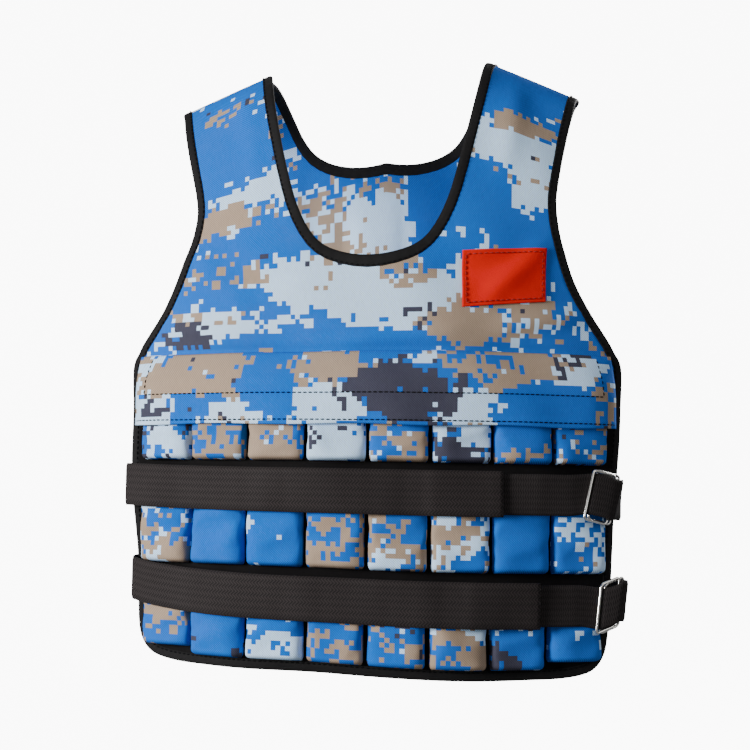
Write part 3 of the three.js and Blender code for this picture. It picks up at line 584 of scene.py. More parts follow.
chestCloth = camouflageCloth("chestCamouflage", camouflage["chest"])
backCloth = camouflageCloth("backCamouflage", camouflage["shoulders"])
camouflageMaterial = camouflageCloth("clothCamouflage")
lint = paint(120, 117, 114)
liningMaterial = plainWeave("blackLining", paint(13, 11, 12), lint, 0.92, 0.0012, specular=0.12)
tapeMaterial = plainWeave("bindingTape", paint(15, 13, 14), lint, 0.66, 0.0015, dust=0.02, specular=0.2,
                          depth=0.0003)
strapMaterial = elasticWebbing("ringWebbing", paint(42, 36, 36), lint, 0.0022, 0.5, 0.0026)
threadMaterial = plainWeave("darkThread", paint(8, 9, 13), lint, 0.7, 0.0004, dust=0.02, sheen=0.0,
                            specular=0.1)
redMaterial = plainWeave("redCloth", paint(255, 30, 18), paint(255, 130, 100), 0.8, 0.0009, dust=0.03,
                         sheen=0.0, specular=0.12)
redThread = plainWeave("redThread", paint(190, 28, 22), paint(240, 150, 130), 0.5, 0.0004, dust=0.1)
beltMaterial = elasticWebbing("elasticBelt", paint(48, 41, 41), lint, 0.0030, 1.1, 0.0030)
wireMaterial = brightWire("brightWire")
print("materials made")


# chest and back panels

yokes = dict(
    rowsPerSpan=6, columns=30, thick=0.003, tuck=0.004,
    front=dict(face=front, neck=frontNeck, shift=(0.0, 0.0), tones=(-0.035, -0.03, -0.03)),
    back=dict(face=back, neck=backNeck, shift=(1.37, 0.42), tones=(0.03, -0.02, -0.06)),
)


def makeYoke(name, spec, materials):
    # straight rows between the neck or centre line and the armhole or side, on each half
    face = spec["face"]
    count = splitRow * yokes["rowsPerSpan"] + 1
    neckCount = neckRow * yokes["rowsPerSpan"] + 1
    inset = body["bindingWidth"] - yokes["tuck"]
    outer = insetLine(tableLine(sideEdge, lastRow * yokes["rowsPerSpan"] + 1), inset, 1)[:count]
    neck = insetLine(tableLine(spec["neck"], neckCount), inset, -1)
    neck[-1, 0] = 0
    belowCount = count - neckCount + 1
    below = np.stack([np.zeros(belowCount), np.linspace(neck[-1, 1], outer[-1, 1], belowCount)], 1)
    inner = np.vstack([neck, below[1:]])
    share = np.linspace(0, 1, yokes["columns"])[None, :, None]
    laid = inner[:, None] + (outer - inner)[:, None] * share
    parts = []
    for side in (1, -1):
        across, down = side * laid[..., 0], laid[..., 1]
        points = raised(face, across, down, 0.0).reshape(-1, 3)
        guide = outwardAt(np.full(across.shape, face), across, down).reshape(-1, 3)
        quads = orient(points, gridFaces(count, yokes["columns"]), guide)
        cloth = np.stack([across.ravel(), -down.ravel()], 1)
        parts.append((points, quads, cloth))
    points, quads, cloth = welded(*joined(parts))
    piece = makePiece(f"{name}_cloth", points, quads, cloth + spec["shift"], materials, [name],
                      "camouflage_cloth", spec["tones"])
    clothSheet(piece, yokes["thick"])
    return piece


makeYoke("front_yoke", yokes["front"], [chestCloth])
makeYoke("back_yoke", yokes["back"], [backCloth])
print("chest and back panels made")


# black backing cloth

bases = dict(rows=40, columns=70, thick=0.003, tuck=0.004)


def makeBase(name, face):
    # Coons patch on each half, blended between the flap line, the centre line, the side edge and the hem
    dense = 8
    edge = insetLine(tableLine(sideEdge, lastRow * dense + 1), body["bindingWidth"] - bases["tuck"], 1)
    row = np.linspace(0, 1, bases["rows"])
    s = np.linspace(0, 1, bases["columns"])
    atRow = splitRow + (cornerRow - splitRow) * row
    side = np.stack([np.interp(atRow * dense, np.arange(len(edge)), edge[:, k]) for k in (0, 1)], 1)
    atHem = lastRow - (lastRow - cornerRow) * s
    hem = np.stack([np.interp(atHem * dense, np.arange(len(edge)), edge[:, k]) for k in (0, 1)], 1)
    top = np.stack([s * side[0, 0], np.full(len(s), side[0, 1])], 1)
    middle = np.stack([np.zeros(len(row)), side[0, 1] + (hem[0, 1] - side[0, 1]) * row], 1)
    r, q = row[:, None, None], s[None, :, None]
    corners = ((1 - r) * (1 - q) * top[0] + (1 - r) * q * top[-1] + r * (1 - q) * hem[0] + r * q * hem[-1])
    laid = (1 - r) * top[None] + r * hem[None] + (1 - q) * middle[:, None] + q * side[:, None] - corners
    parts = []
    for turn in (1, -1):
        across, down = turn * laid[..., 0], laid[..., 1]
        points = raised(face, across, down, 0.0).reshape(-1, 3)
        guide = outwardAt(np.full(across.shape, face), across, down).reshape(-1, 3)
        quads = orient(points, gridFaces(*across.shape), guide)
        parts.append((points, quads, np.stack([across.ravel(), -down.ravel()], 1)))
    points, quads, cloth = welded(*joined(parts))
    piece = makePiece(f"{name}_cloth", points, quads, cloth, [liningMaterial], [name], "black_cloth")
    clothSheet(piece, bases["thick"])
    return piece


makeBase("front_base", front)
makeBase("back_base", back)
print("backing cloth made")


# flaps over the upper pockets

flaps = dict(
    rows=44, columns=150, thick=0.0019, reach=0.94, hem=0.0075, hemRise=0.0004, scallop=0.0011, puff=0.0011,
    puffWave=43, waveStart=0.55, waveRun=0.07, sway=0.0007, swayWave=51, swayStart=0.56, swayRun=0.06,
    # lift from the seam to the hem as shares: (down, lift), and from the middle to the ends: (across, lift)
    profile=[(0.5075, 0.0), (0.518, 0.26), (0.532, 0.56), (0.55, 0.87), (0.57, 1.0), (0.595, 1.0),
             (0.62, 1.0)],
    ends=[(0.0, 1.0), (0.687, 1.0), (0.83, 1.0), (0.885, 0.88), (0.915, 0.68), (0.94, 0.42)],
    tones=dict(front=(-0.03, 0.0, -0.01), back=(0.0, -0.02, -0.02)),
    shift=dict(front=(0, -0.03), back=(2.1, 0.6)),
)


def flapLift(across, down):
    # lift rises from the seam to the pocket fronts, falls off to the ends, and dips between the pockets;
    # a soft bulge and the doubled hem stand on it
    lowest = clothFace + flapSag + body["gap"] + body["hair"]
    p, e = np.array(flaps["profile"]), np.array(flaps["ends"])
    fall = np.interp(down / drop, p[:, 0], p[:, 1])
    side = np.interp(np.abs(across) / halfWidth, e[:, 0], e[:, 1])
    lift = lowest + (flapUnder - lowest) * fall * side
    lower = np.clip((down / drop - flaps["waveStart"]) / flaps["waveRun"], 0, 1)
    wave = np.cos(across / pitch * 2 * math.pi + math.pi) - 0.2
    lift += flaps["scallop"] * wave * 0.5 * lower * (side > 0.9)
    bulge = np.sin((down / drop - p[0, 0]) / (p[-1, 0] - p[0, 0]) * math.pi) ** 2
    lift += flaps["puff"] * bulge * (0.6 + 0.6 * np.sin(across * flaps["puffWave"] + 1.0))
    return lift + flaps["hemRise"] * (down > (p[-1, 0] * drop - flaps["hem"]))


def makeFlap(name, face, key):
    p = np.array(flaps["profile"])
    v = np.linspace(p[0, 0], p[-1, 0], flaps["rows"]) * drop
    u = np.linspace(-flaps["reach"], flaps["reach"], flaps["columns"]) * halfWidth
    across, down = np.meshgrid(u, v)
    lower = np.clip((down / drop - flaps["swayStart"]) / flaps["swayRun"], 0, 1)
    down = down + flaps["sway"] * np.sin(across * flaps["swayWave"] + face) * lower
    points = raised(face, across, down, flapLift(across, down) + flaps["thick"] / 2).reshape(-1, 3)
    guide = outwardAt(np.full(across.shape, face), across, down).reshape(-1, 3)
    quads = orient(points, gridFaces(*across.shape), guide)
    cloth = np.stack([across.ravel(), -down.ravel()], 1)
    materials = [chestCloth if key == "front" else camouflageMaterial]
    piece = makePiece(f"{name}_cloth", points, quads, cloth + flaps["shift"][key], materials, [name],
                      "camouflage_cloth",
                      flaps["tones"][key])
    clothSheet(piece, flaps["thick"])
    return piece


makeFlap("front_flap", front, "front")
makeFlap("back_flap", back, "back")
print("flaps made")


# filled pockets

pouches = dict(
    step=0.0036, backStep=0.0042, pressure=3.0, frames=20, swell=0.0012, sideFullness=0.30,
    headRoll=0.12, footRoll=0.022,
    headCorner=0.0030, footCorner=0.0026, seed=11, widen=0.0011, underFlap=0.0007, topDrop=0.012,
    footDrop=0.0035, gather=0.94, sideSharp=3.4, full=0.92, fullest=1.02, dents=(0.05, 0.03),
    quality=4, shrink=-0.03, pressEdge=0.0022, pressed=0.05, flapEnd=0.6225, sideRun=0.9, sidePower=6,
    # lean of pale, tan and dark for the eight columns of each row, left to right
    tones=dict(
        upper=[(0.10, -0.1, 0.10), (-0.05, 0.10, -0.1), (-0.1, 0.16, -0.1), (0.14, -0.1, 0.0),
               (-0.05, 0.08, -0.1),
               (0.10, -0.1, 0.08), (-0.12, 0.05, -0.1), (-0.1, 0.08, 0.05)],
        middle=[(0.08, 0.08, -0.1), (-0.15, -0.1, -0.1), (-0.02, -0.1, -0.1), (-0.1, 0.14, -0.1),
                (0.0, 0.08, 0.0),
                (0.10, 0.08, -0.1), (-0.15, -0.1, -0.1), (0.0, -0.1, -0.1)],
        lower=[(-0.1, 0.08, -0.1), (-0.15, -0.1, 0.06), (0.02, -0.1, -0.1), (-0.1, 0.10, -0.1),
               (-0.12, 0.06, 0.04),
               (0.08, 0.08, -0.1), (-0.1, -0.1, 0.10), (0.0, -0.1, -0.1)],
    ),
)


def pouchShape(middle, half, top, bottom, headCorner, corners, step, rng):
    # rounded outline; front lift = fill * (1 - |a|^sharpness)^fullness across, rolled in at head and foot;
    # the back stays flat
    tall = bottom - top
    rows, columns = int(round(tall / step)) + 1, int(round(2 * half / step)) + 1
    gather = pouches["gather"]
    a = np.sin(np.linspace(-1, 1, columns) * math.pi / 2 * gather) / math.sin(math.pi / 2 * gather)
    b = np.linspace(0, 1, rows)
    down = top + tall * b[:, None] + np.zeros((1, columns))
    def cut(distance, radius):
        inside = np.clip(1 - distance / radius, 0, 1)
        return radius * (1 - np.sqrt(1 - inside ** 2))
    narrow = [cut(b * tall, headCorner) + cut((1 - b) * tall, corner) for corner in corners]
    left, right = -half + narrow[0][:, None], half - narrow[1][:, None]
    across = middle + (left + right) / 2 + (right - left) / 2 * a[None, :]
    crown = (1 - np.abs(a) ** pouches["sideSharp"]).clip(0) ** pouches["sideFullness"]
    head = np.clip(b / pouches["headRoll"], 0, 1)
    foot = np.clip((1 - b) / pouches["footRoll"], 0, 1)
    roll = np.sqrt(1 - (1 - head) ** 2) * np.sqrt(1 - (1 - foot) ** 2)
    lift = body["pocketFill"] * pouches["full"] * crown[None, :] * roll[:, None]
    phase = rng.uniform(0, 6.28, 4)
    large, small = pouches["dents"]
    lift *= 1 + large * np.sin(down * 95 + phase[0]) * np.sin(across * 130 + phase[1]) \
        + small * np.sin(down * 230 + across * 90 + phase[2])
    return across, down, lift


def pouchMesh(across, down, lift):
    # the front grid and a flat back grid share their border ring
    rows, columns = across.shape
    frontPoints = np.stack([across, down, lift], -1).reshape(-1, 3)
    backPoints = np.stack([across, down, np.zeros_like(lift)], -1).reshape(-1, 3)
    quads = np.vstack([gridFaces(rows, columns), gridFaces(rows, columns)[:, ::-1] + rows * columns])
    border = np.zeros((rows, columns), bool)
    border[[0, -1], :] = border[:, [0, -1]] = True
    held = np.concatenate([border.ravel(), np.ones(rows * columns, bool)])
    place = np.arange(2 * rows * columns)
    place[rows * columns:][border.ravel()] = np.flatnonzero(border.ravel())
    used, compact = np.unique(place, return_inverse=True)
    return np.vstack([frontPoints, backPoints])[used], compact[quads], held[used]


def inflated(islands):
    # one cloth run for all the pouches laid flat: backs and seams pinned, pressure inside, no gravity;
    # no point moves further than the swell
    points, quads, held = [], [], []
    offset = 0
    for p, q, h in islands:
        points.append(p)
        quads.append(q + offset)
        held.append(h)
        offset += len(p)
    points, quads, held = np.vstack(points), np.vstack(quads), np.concatenate(held)
    flat = np.stack([points[:, 0], -points[:, 1], points[:, 2]], 1)
    mesh = bpy.data.meshes.new("pouchRun")
    mesh.from_pydata(flat.tolist(), [], quads.tolist())
    run = bpy.data.objects.new("pouchRun", mesh)
    scene.collection.objects.link(run)
    run.vertex_groups.new(name="seams").add(np.flatnonzero(held).tolist(), 1.0, "REPLACE")
    cloth = run.modifiers.new("Cloth", "CLOTH")
    cloth.settings.vertex_group_mass = "seams"
    cloth.settings.use_pressure = True
    cloth.settings.uniform_pressure_force = pouches["pressure"]
    cloth.settings.effector_weights.gravity = 0
    cloth.settings.quality = pouches["quality"]
    cloth.settings.shrink_min = pouches["shrink"]
    cloth.collision_settings.use_collision = False
    for number in range(1, pouches["frames"] + 1):
        scene.frame_set(number)
    solved = run.evaluated_get(bpy.context.evaluated_depsgraph_get())
    result = np.zeros(len(points) * 3)
    solved.data.vertices.foreach_get("co", result)
    scene.frame_set(1)
    bpy.data.objects.remove(run)
    result = result.reshape(-1, 3) * (1, -1, 1)
    moved = result - points
    far = np.linalg.norm(moved, axis=1, keepdims=True)
    return points + moved * np.minimum(1, pouches["swell"] / np.maximum(far, 1e-9))


def strapPress(down, belts):
    # 1 under the middle of a belt, 0 away from it
    press = np.zeros_like(down)
    for belt in belts:
        edge = np.abs(down - belt["middle"] * drop) - body["beltWidth"] / 2
        press = np.maximum(press, 1 / (1 + np.exp(edge / pouches["pressEdge"])))
    return press


def pocketPieces():
    # all pouches are laid out flat, blown up together, and then wrapped on the body row by row
    rng = np.random.default_rng(pouches["seed"])
    islands, specs = [], []
    for row in pocketRows:
        step = pitch * row["spread"]
        for column in range(body["columns"]):
            middle = (column - (body["columns"] - 1) / 2) * step
            half = (step - body["pocketSpace"]) / 2
            end = abs(middle) > step * (body["columns"] / 2 - 1)
            foot = (row["bottom"] - (row["short"] if end else 0)) * drop
            corners = [pouches["footCorner"] * (row["corner"] if end and middle * side > 0 else 1)
                       for side in (-1, 1)]
            head = row["top"] + (pouches["topDrop"] if row["name"] != "upper" else 0)
            foot += pouches["footDrop"] if row["name"] == "lower" else 0
            shape = pouchShape(middle, half + pouches["widen"], head * drop, foot, pouches["headCorner"],
                               corners, pouches["step"], rng)
            islands.append(pouchMesh(*shape))
            specs.append((f"pocket_{row['name']}_{column + 1}", row, column, front, middle, half))
    for row in pocketRows:
        islands.append(stripMesh(row))
        specs.append((f"back_pockets_{row['name']}", row, 0, back, 0.0, 0.0))
    solved = inflated(islands)
    start = 0
    for (points, quads, held), (name, row, column, face, middle, half) in zip(islands, specs):
        flat = solved[start:start + len(points)]
        start += len(points)
        across, down, lift = flat.T
        lift = np.clip(lift, 0, body["pocketFill"] * pouches["fullest"])
        if row["name"] == "upper":  # the heads stay under the flap
            under = flapLift(across, down) - pocketBase - pouches["underFlap"]
            lift = np.where(down < pouches["flapEnd"] * drop, np.minimum(lift, np.maximum(under, 0)), lift)
        lift = lift * (1 - pouches["pressed"] * strapPress(down, beltRows))
        shaped = raised(face, across, down, pocketBase + lift)
        quads = orient(shaped, quads)
        # the pattern runs on over the sides: the cloth coordinate grows with the depth there
        backCell = (across / pitch - np.floor(across / pitch) - 0.5) * pitch
        local = across - middle if face == front else backCell
        depth = (body["pocketFill"] - lift) * np.abs(np.clip(local / (pitch / 2), -1, 1))\
            ** pouches["sidePower"]
        cloth = np.stack([across + np.sign(local) * depth * pouches["sideRun"], -down], 1)
        jump = rng.integers(0, 400, 2) * camouflage["cell"]
        tones = pouches["tones"][row["name"]][column] if face == front else (0.0, -0.02, -0.03)
        piece = makePiece(f"{name}_cloth", shaped, quads, cloth + jump, [camouflageMaterial], [name],
                          "camouflage_cloth", tones)
        addModifier(piece, "SUBSURF", levels=1, render_levels=1)


quilt = dict(seed=5, valley=0.14, roundness=2.3, shoulder=0.62, endRoll=0.004, headRoll=0.3,
             footRoll=0.16, seam=0.06, inset=0.055, footCurve=2.6, footStart=3, full=0.93, dents=0.04)


def stripMesh(row):
    # a quilted strip: the same arch over each filling, sewn down to the valley between them
    rng = np.random.default_rng(quilt["seed"])
    half = body["columns"] / 2 * pitch * row["spread"] - quilt["inset"] * pitch
    count = int(round(2 * half / pouches["backStep"])) // 8 * 8 + 1
    u = np.linspace(-half, half, count)
    cellPitch = pitch * row["spread"]
    local = np.abs((u / cellPitch) - np.floor(u / cellPitch) - 0.5) * 2
    arch = (1 - local ** quilt["roundness"]).clip(0) ** quilt["shoulder"]
    crown = quilt["valley"] + (1 - quilt["valley"]) * arch
    edge = np.clip((half - np.abs(u)) / quilt["endRoll"], 0, 1)
    atCorner = np.maximum(0, np.abs(u) / cellPitch - quilt["footStart"])
    short = quilt["footCurve"] * row["short"] * atCorner ** 2 * drop
    top = row["top"] * drop
    rows = int(round((row["bottom"] * drop - top) / pouches["backStep"])) + 1
    b = np.linspace(0, 1, rows)
    down = top + (row["bottom"] * drop - short - top)[None, :] * b[:, None]
    across = np.broadcast_to(u, down.shape).copy()
    headShare, footShare = np.clip(b / quilt["headRoll"], 0, 1), np.clip((1 - b) / quilt["footRoll"], 0, 1)
    roll = np.sqrt(1 - (1 - headShare) ** 2) * np.sqrt(1 - (1 - footShare) ** 2)
    lift = body["pocketFill"] * quilt["full"] * crown[None, :] * edge[None, :] ** 0.5 * roll[:, None]
    phase = rng.uniform(0, 6.28, 3)
    lift *= 1 + quilt["dents"] * np.sin(down * 95 + phase[0]) * np.sin(across * 61 + phase[1])
    points, quads, held = pouchMesh(across, down, lift)
    fraction = np.abs(points[:, 0] / cellPitch - np.round(points[:, 0] / cellPitch))
    held = held | (fraction < quilt["seam"])
    return points, quads, held


pocketPieces()
print("pockets filled")


# binding tape

tapes = dict(stationStep=6, sides=14, thick=0.0046, pucker=0.00025, puckerStep=2.1, widthRound=0.7,
             heightRound=0.6, upperShift=0.02)


def makeBinding(name, frontTable, backTable, inward):
    # a flattened rounded section carried round the closed edge, from the held side to the free side
    width = body["bindingWidth"]
    loops = []
    for face, table in ((front, frontTable), (back, backTable)):
        free = tableLine(table, (len(table) - 1) * tapes["stationStep"] + 1)
        held = insetLine(free, width, inward)
        pair = np.concatenate([free, held], 1)
        right = np.concatenate([pair, np.full((len(pair), 1), face)], 1)
        left = right[::-1][1:] * (-1, 1, -1, 1, 1)
        loops.append(np.vstack([right, left]))
    ring = np.vstack([loops[0], loops[1][1:-1][::-1]])
    freeSide, heldSide, face = ring[:, :2], ring[:, 2:4], ring[:, 4]
    turn = np.linspace(0, 2 * math.pi, tapes["sides"], endpoint=False)
    # share is 0 at the held side and 1 at the free side
    share = 0.5 - 0.5 * np.sign(np.cos(turn)) * np.abs(np.cos(turn)) ** tapes["widthRound"]
    height = tapes["thick"] / 2 * np.sign(np.sin(turn)) * np.abs(np.sin(turn)) ** tapes["heightRound"]
    along = np.arange(len(ring))[:, None]
    across = heldSide[:, :1] + (freeSide - heldSide)[:, :1] * share
    down = np.maximum(heldSide[:, 1:] + (freeSide - heldSide)[:, 1:] * share, 0)
    lift = height[None, :] + tapes["pucker"] * np.sin(along * tapes["puckerStep"]) * np.sin(turn)[None, :]
    points = raised(face[:, None] + np.zeros_like(across), across, down, lift)
    length = np.concatenate([[0], np.cumsum(np.linalg.norm(np.diff(points[:, 0], axis=0), axis=1))])
    sideways = share[None, :] * width + (height > 0) * tapes["upperShift"]
    cloth = np.stack([length[:, None] + np.zeros_like(across), sideways + np.zeros_like(across)], -1)
    cloth = cloth.reshape(-1, 2)
    points = points.reshape(-1, 3)
    quads = orient(points, gridFaces(len(ring), tapes["sides"], True, True))
    piece = makePiece(f"{name}_tape", points, quads, cloth, [tapeMaterial], [name], "binding_tape")
    addModifier(piece, "SUBSURF", levels=1, render_levels=1)


makeBinding("neck_binding", frontNeck, backNeck, -1)
makeBinding("edge_binding", sideEdge, sideEdge, 1)
print("bindings made")


# belts, straps and rings

# round the side: share of the width there, share of the belt's lift
sideTurn = [(0.86, 1.0), (0.935, 0.8), (1.004, 0.17)]
belts = dict(join=0.65, lap=0.24, smooth=8, endFold=0.013, endFoldRise=0.0005, fray=0.0009, buckle=0.0007,
             bend=0.03, edgeSharp=10, edgeThin=0.25, wideSteps=13,
             lapSteps=2, frontSteps=9, backSteps=10, climbStart=0.3, climbRun=0.65,
             lapTuck=0.002, ease=0.014, strapNarrow=0.004, strapStart=0.006, inRing=0.0017, loop=0.007,
             underShift=0.1, beforeRing=0.05, ringSteps=5, pastLift=0.2)
# the ring strap's way through the wires: share across the ring, shift along it, wires and clearance below
threading = [(0, 0.0006, 0, 0), (0, 0.0048, 1, 0.0004), (0.5, 0.0056, 2, 0.0004), (1, 0.0015, 2, 0.0003),
             (1, 0.0082, 0.9, 0)]
rings = dict(corner=0.0032, cornerSteps=7, sides=16, rearShift=0.0056, frontLean=0.0009, rearLean=0.0006)
ringTall = body["beltWidth"] + body["ringWire"] + 2 * body["hair"]


def edgeWidth(down):
    # half the cloth's width at a height between the flap line and the lower corner
    return float(np.interp(down, sideEdge[splitRow:cornerRow, 1], sideEdge[splitRow:cornerRow, 0]))


def station(face, across, middle, lift, width):
    # head and foot points of a strap's middle surface
    head = raised(face, across, middle - width / 2, lift + body["beltThick"] / 2)
    foot = raised(face, across, middle + width / 2, lift + body["beltThick"] / 2)
    return np.stack([head, foot])


def strapMesh(name, stations, width, material, nodes, endFold=False):
    # smooth lines through the head and foot points; a rounded flat section between them is carried along
    path = smoothLine(np.array(stations), (len(stations) - 1) * belts["smooth"] + 1)
    head, foot = path[:, 0], path[:, 1]
    centre = (head + foot) / 2
    along = np.gradient(centre, axis=0)
    along /= np.linalg.norm(along, axis=1, keepdims=True)
    wide = (foot - head)
    wide /= np.linalg.norm(wide, axis=1, keepdims=True)
    out = np.cross(along, wide)
    out /= np.linalg.norm(out, axis=1, keepdims=True)
    length = np.concatenate([[0], np.cumsum(np.linalg.norm(np.diff(centre, axis=0), axis=1))])
    wideSteps = np.linspace(-1, 1, belts["wideSteps"])
    thick = body["beltThick"] / 2
    rounded = np.sqrt((1 - np.abs(wideSteps) ** belts["edgeSharp"]).clip(0))
    edgeThin = rounded * (1 - belts["edgeThin"]) + belts["edgeThin"]
    share = np.concatenate([wideSteps, wideSteps[::-1]])
    rise = np.concatenate([edgeThin, -edgeThin[::-1]]) * thick
    half = np.linalg.norm(foot - head, axis=1) / 2
    buckle = belts["buckle"] * (np.sin(length * 61 + 1) * np.sin(length * 23) + 0.4 * np.sin(length * 140))
    loose = np.clip(np.minimum(length, length[-1] - length) / belts["bend"], 0, 1)
    centre = centre + out * (np.abs(buckle) * loose)[:, None]
    fold = np.zeros(len(path))
    if endFold:
        fold = belts["endFoldRise"] * (length < belts["endFold"])
    points = centre[:, None] + wide[:, None] * (share[None, :] * half[:, None])[..., None] \
        + out[:, None] * (rise[None, :] + fold[:, None] * np.sign(rise)[None, :])[..., None]
    if endFold:
        ragged = belts["fray"] * np.sin(np.arange(len(share)) * 2.7) * np.sin(np.arange(len(share)) * 1.3)
        points[0] += along[0] * ragged[:, None]
    sideways = (share * width / 2)[None, :] + (rise < 0) * belts["underShift"]
    cloth = np.stack([length[:, None] + np.zeros((1, len(share))), sideways
                      + np.zeros((len(path), 1))], -1).reshape(-1, 2)
    columns = len(share)
    quads = [gridFaces(len(path), columns, False, True)]
    for end in (0, len(path) - 1):  # both ends are closed by quads between the two long sides
        k = np.arange(len(wideSteps) - 1)
        cap = np.stack([k, k + 1, columns - 2 - k, columns - 1 - k], 1) + end * columns
        quads.append(cap if end else cap[:, ::-1])
    points = points.reshape(-1, 3)
    quads = np.vstack(quads)
    longQuads = quads[:(len(path) - 1) * columns]
    turned = orient(points, longQuads)
    if turned is not longQuads:
        quads = quads[:, ::-1]
    return makePiece(f"{name}_webbing", points, quads, cloth, [material], nodes, "belt_webbing")


def makeBelt(belt):
    # from the lap at its end over the front, round the left side and over the back to the join
    width = body["beltWidth"]
    def middle(across):
        share = min(1, max(0, (-across / halfWidth - belts["climbStart"]) / belts["climbRun"]))
        return (belt["middle"] - belt["climb"] * share * share) * drop
    end = belt["end"] * halfWidth
    lap = belts["lap"] * halfWidth
    sideDown = middle(-halfWidth)
    wide = edgeWidth(sideDown - width / 2)
    frontTurn = -sideTurn[0][0] * wide
    stations = []
    for i in range(belts["lapSteps"] + 1):
        across = end - (lap - belts["lapTuck"]) * i / belts["lapSteps"]
        stations.append(station(front, across, middle(across), beltOver, width))
    for i in range(belts["frontSteps"] + 1):
        lapEnd = end - lap - belts["ease"]
        across = lapEnd + (frontTurn - lapEnd) * i / belts["frontSteps"]
        stations.append(station(front, across, middle(across), beltUnder, width))
    for share, lift in sideTurn[1:]:
        stations.append(station(front, -share * wide, middle(-share * wide), beltUnder * lift, width))
    for share, lift in sideTurn[::-1]:
        stations.append(station(back, -share * wide, sideDown, beltUnder * lift, width))
    for i in range(1, belts["backSteps"] + 1):
        joinAt = belts["join"] * halfWidth - body["gap"]
        across = frontTurn + (joinAt - frontTurn) * i / belts["backSteps"]
        settle = min(1, (across - frontTurn) / halfWidth)
        down = sideDown + (belt["middle"] * drop - sideDown) * settle
        stations.append(station(back, across, down, beltUnder, width))
    name = f"{belt['name']}_belt"
    return strapMesh(name, stations, width, beltMaterial, [name], endFold=True)


def ringPoint(belt, share, inRing, shift, lift):
    # a point between the ring's inner bar (share 0) and outer bar (share 1), inRing below its head
    ring = belt["ring"]
    top = ring["topIn"] + (ring["topOut"] - ring["topIn"]) * share
    foot = ring["footIn"] + (ring["footOut"] - ring["footIn"]) * share
    across = (top + (foot - top) * inRing / ringTall) * halfWidth + shift
    return raised(front, across, ring["head"] * drop + ring["slant"] * drop * share + inRing, lift)


def makeRingStrap(belt):
    # from under the lap out through the rear wire, back over the front one, and round the right side
    ring, width, wire = belt["ring"], body["beltWidth"] - belts["strapNarrow"], body["ringWire"]
    middle = belt["middle"] * drop
    start = (belt["end"] - belts["lap"]) * halfWidth + belts["strapStart"]
    ringIn = (ring["footIn"] - belts["beforeRing"]) * halfWidth
    stations = []
    for i in range(belts["ringSteps"] + 1):
        across = start + (ringIn - start) * i / belts["ringSteps"]
        stations.append(station(front, across, middle, beltUnder, width))
    inRing = wire / 2 + belts["inRing"]
    half = body["beltThick"] / 2
    for share, shift, wires, clear in threading:
        lift = beltUnder + wire * wires + clear + half
        stations.append(np.stack([ringPoint(belt, share, inRing, shift, lift),
                                  ringPoint(belt, share, inRing + width, shift, lift)]))
    down = ring["head"] * drop + inRing + ring["slant"] * drop + width / 2
    wide = edgeWidth(middle - width / 2)
    past = max(sideTurn[2][0] * wide, ring["topOut"] * halfWidth + rings["rearShift"] + belts["loop"])
    stations.append(station(front, past, down, beltUnder * belts["pastLift"], width))
    for share, lift in sideTurn[::-1]:
        stations.append(station(back, share * wide, middle, beltUnder * lift, width))
    stations.append(station(back, belts["join"] * halfWidth, middle, beltUnder, width))
    name = f"{belt['name']}_ring_strap"
    return strapMesh(name, stations, width, strapMaterial, [name])


def makeRing(belt, key, shift, inner, lower):
    # round wire carried along a rectangle whose corners are quarter circles
    wire = body["ringWire"]
    corners = np.stack([ringPoint(belt, 0, 0, shift, inner), ringPoint(belt, 1, 0, shift, inner - lower),
                        ringPoint(belt, 1, ringTall, shift, inner - lower),
                        ringPoint(belt, 0, ringTall, shift, inner)])
    radius = rings["corner"]
    before, after = np.roll(corners, 1, 0) - corners, np.roll(corners, -1, 0) - corners
    before /= np.linalg.norm(before, axis=1, keepdims=True)
    after /= np.linalg.norm(after, axis=1, keepdims=True)
    turn = np.linspace(0, math.pi / 2, rings["cornerSteps"])
    # corner arc: from the corner, 1 - sin along the way in and 1 - cos along the way out
    path = (corners[:, None] + before[:, None] * (radius * (1 - np.sin(turn)))[None, :, None]
            + after[:, None] * (radius * (1 - np.cos(turn)))[None, :, None]).reshape(-1, 3)
    along = np.roll(path, -1, 0) - np.roll(path, 1, 0)
    along /= np.linalg.norm(along, axis=1, keepdims=True)
    flat = np.cross(corners[1] - corners[0], corners[3] - corners[0])
    flat /= np.linalg.norm(flat)
    outer = np.cross(along, flat)
    angle = np.linspace(0, 2 * math.pi, rings["sides"], endpoint=False)
    points = (path[:, None] + outer[:, None] * (np.cos(angle) * wire / 2)[None, :, None]
              + flat * (np.sin(angle) * wire / 2)[None, :, None]).reshape(-1, 3)
    quads = orient(points, gridFaces(len(path), rings["sides"], True, True))
    cloth = np.zeros((len(points), 2))
    name = f"{belt['name']}_ring_{key}"
    makePiece(f"{name}_wire", points, quads, cloth, [wireMaterial], [name], "ring_wire")


for belt in beltRows:
    makeBelt(belt)
    makeRingStrap(belt)
    wire = body["ringWire"]
    wireUnder = body["gap"] + wire / 2 + body["hair"]
    makeRing(belt, "front", 0.0, beltUnder + body["beltThick"] + wireUnder, rings["frontLean"])
    makeRing(belt, "rear", rings["rearShift"], pocketTop + wireUnder, rings["rearLean"])
print("belts and rings made")


# red cloth patch

patch = dict(inner=0.343, outer=0.668, innerTop=0.355, outerTop=0.343, tall=0.084, thick=0.0011,
             border=0.0022, borderRise=0.00035, clear=0.00055, ripple=0.0003)


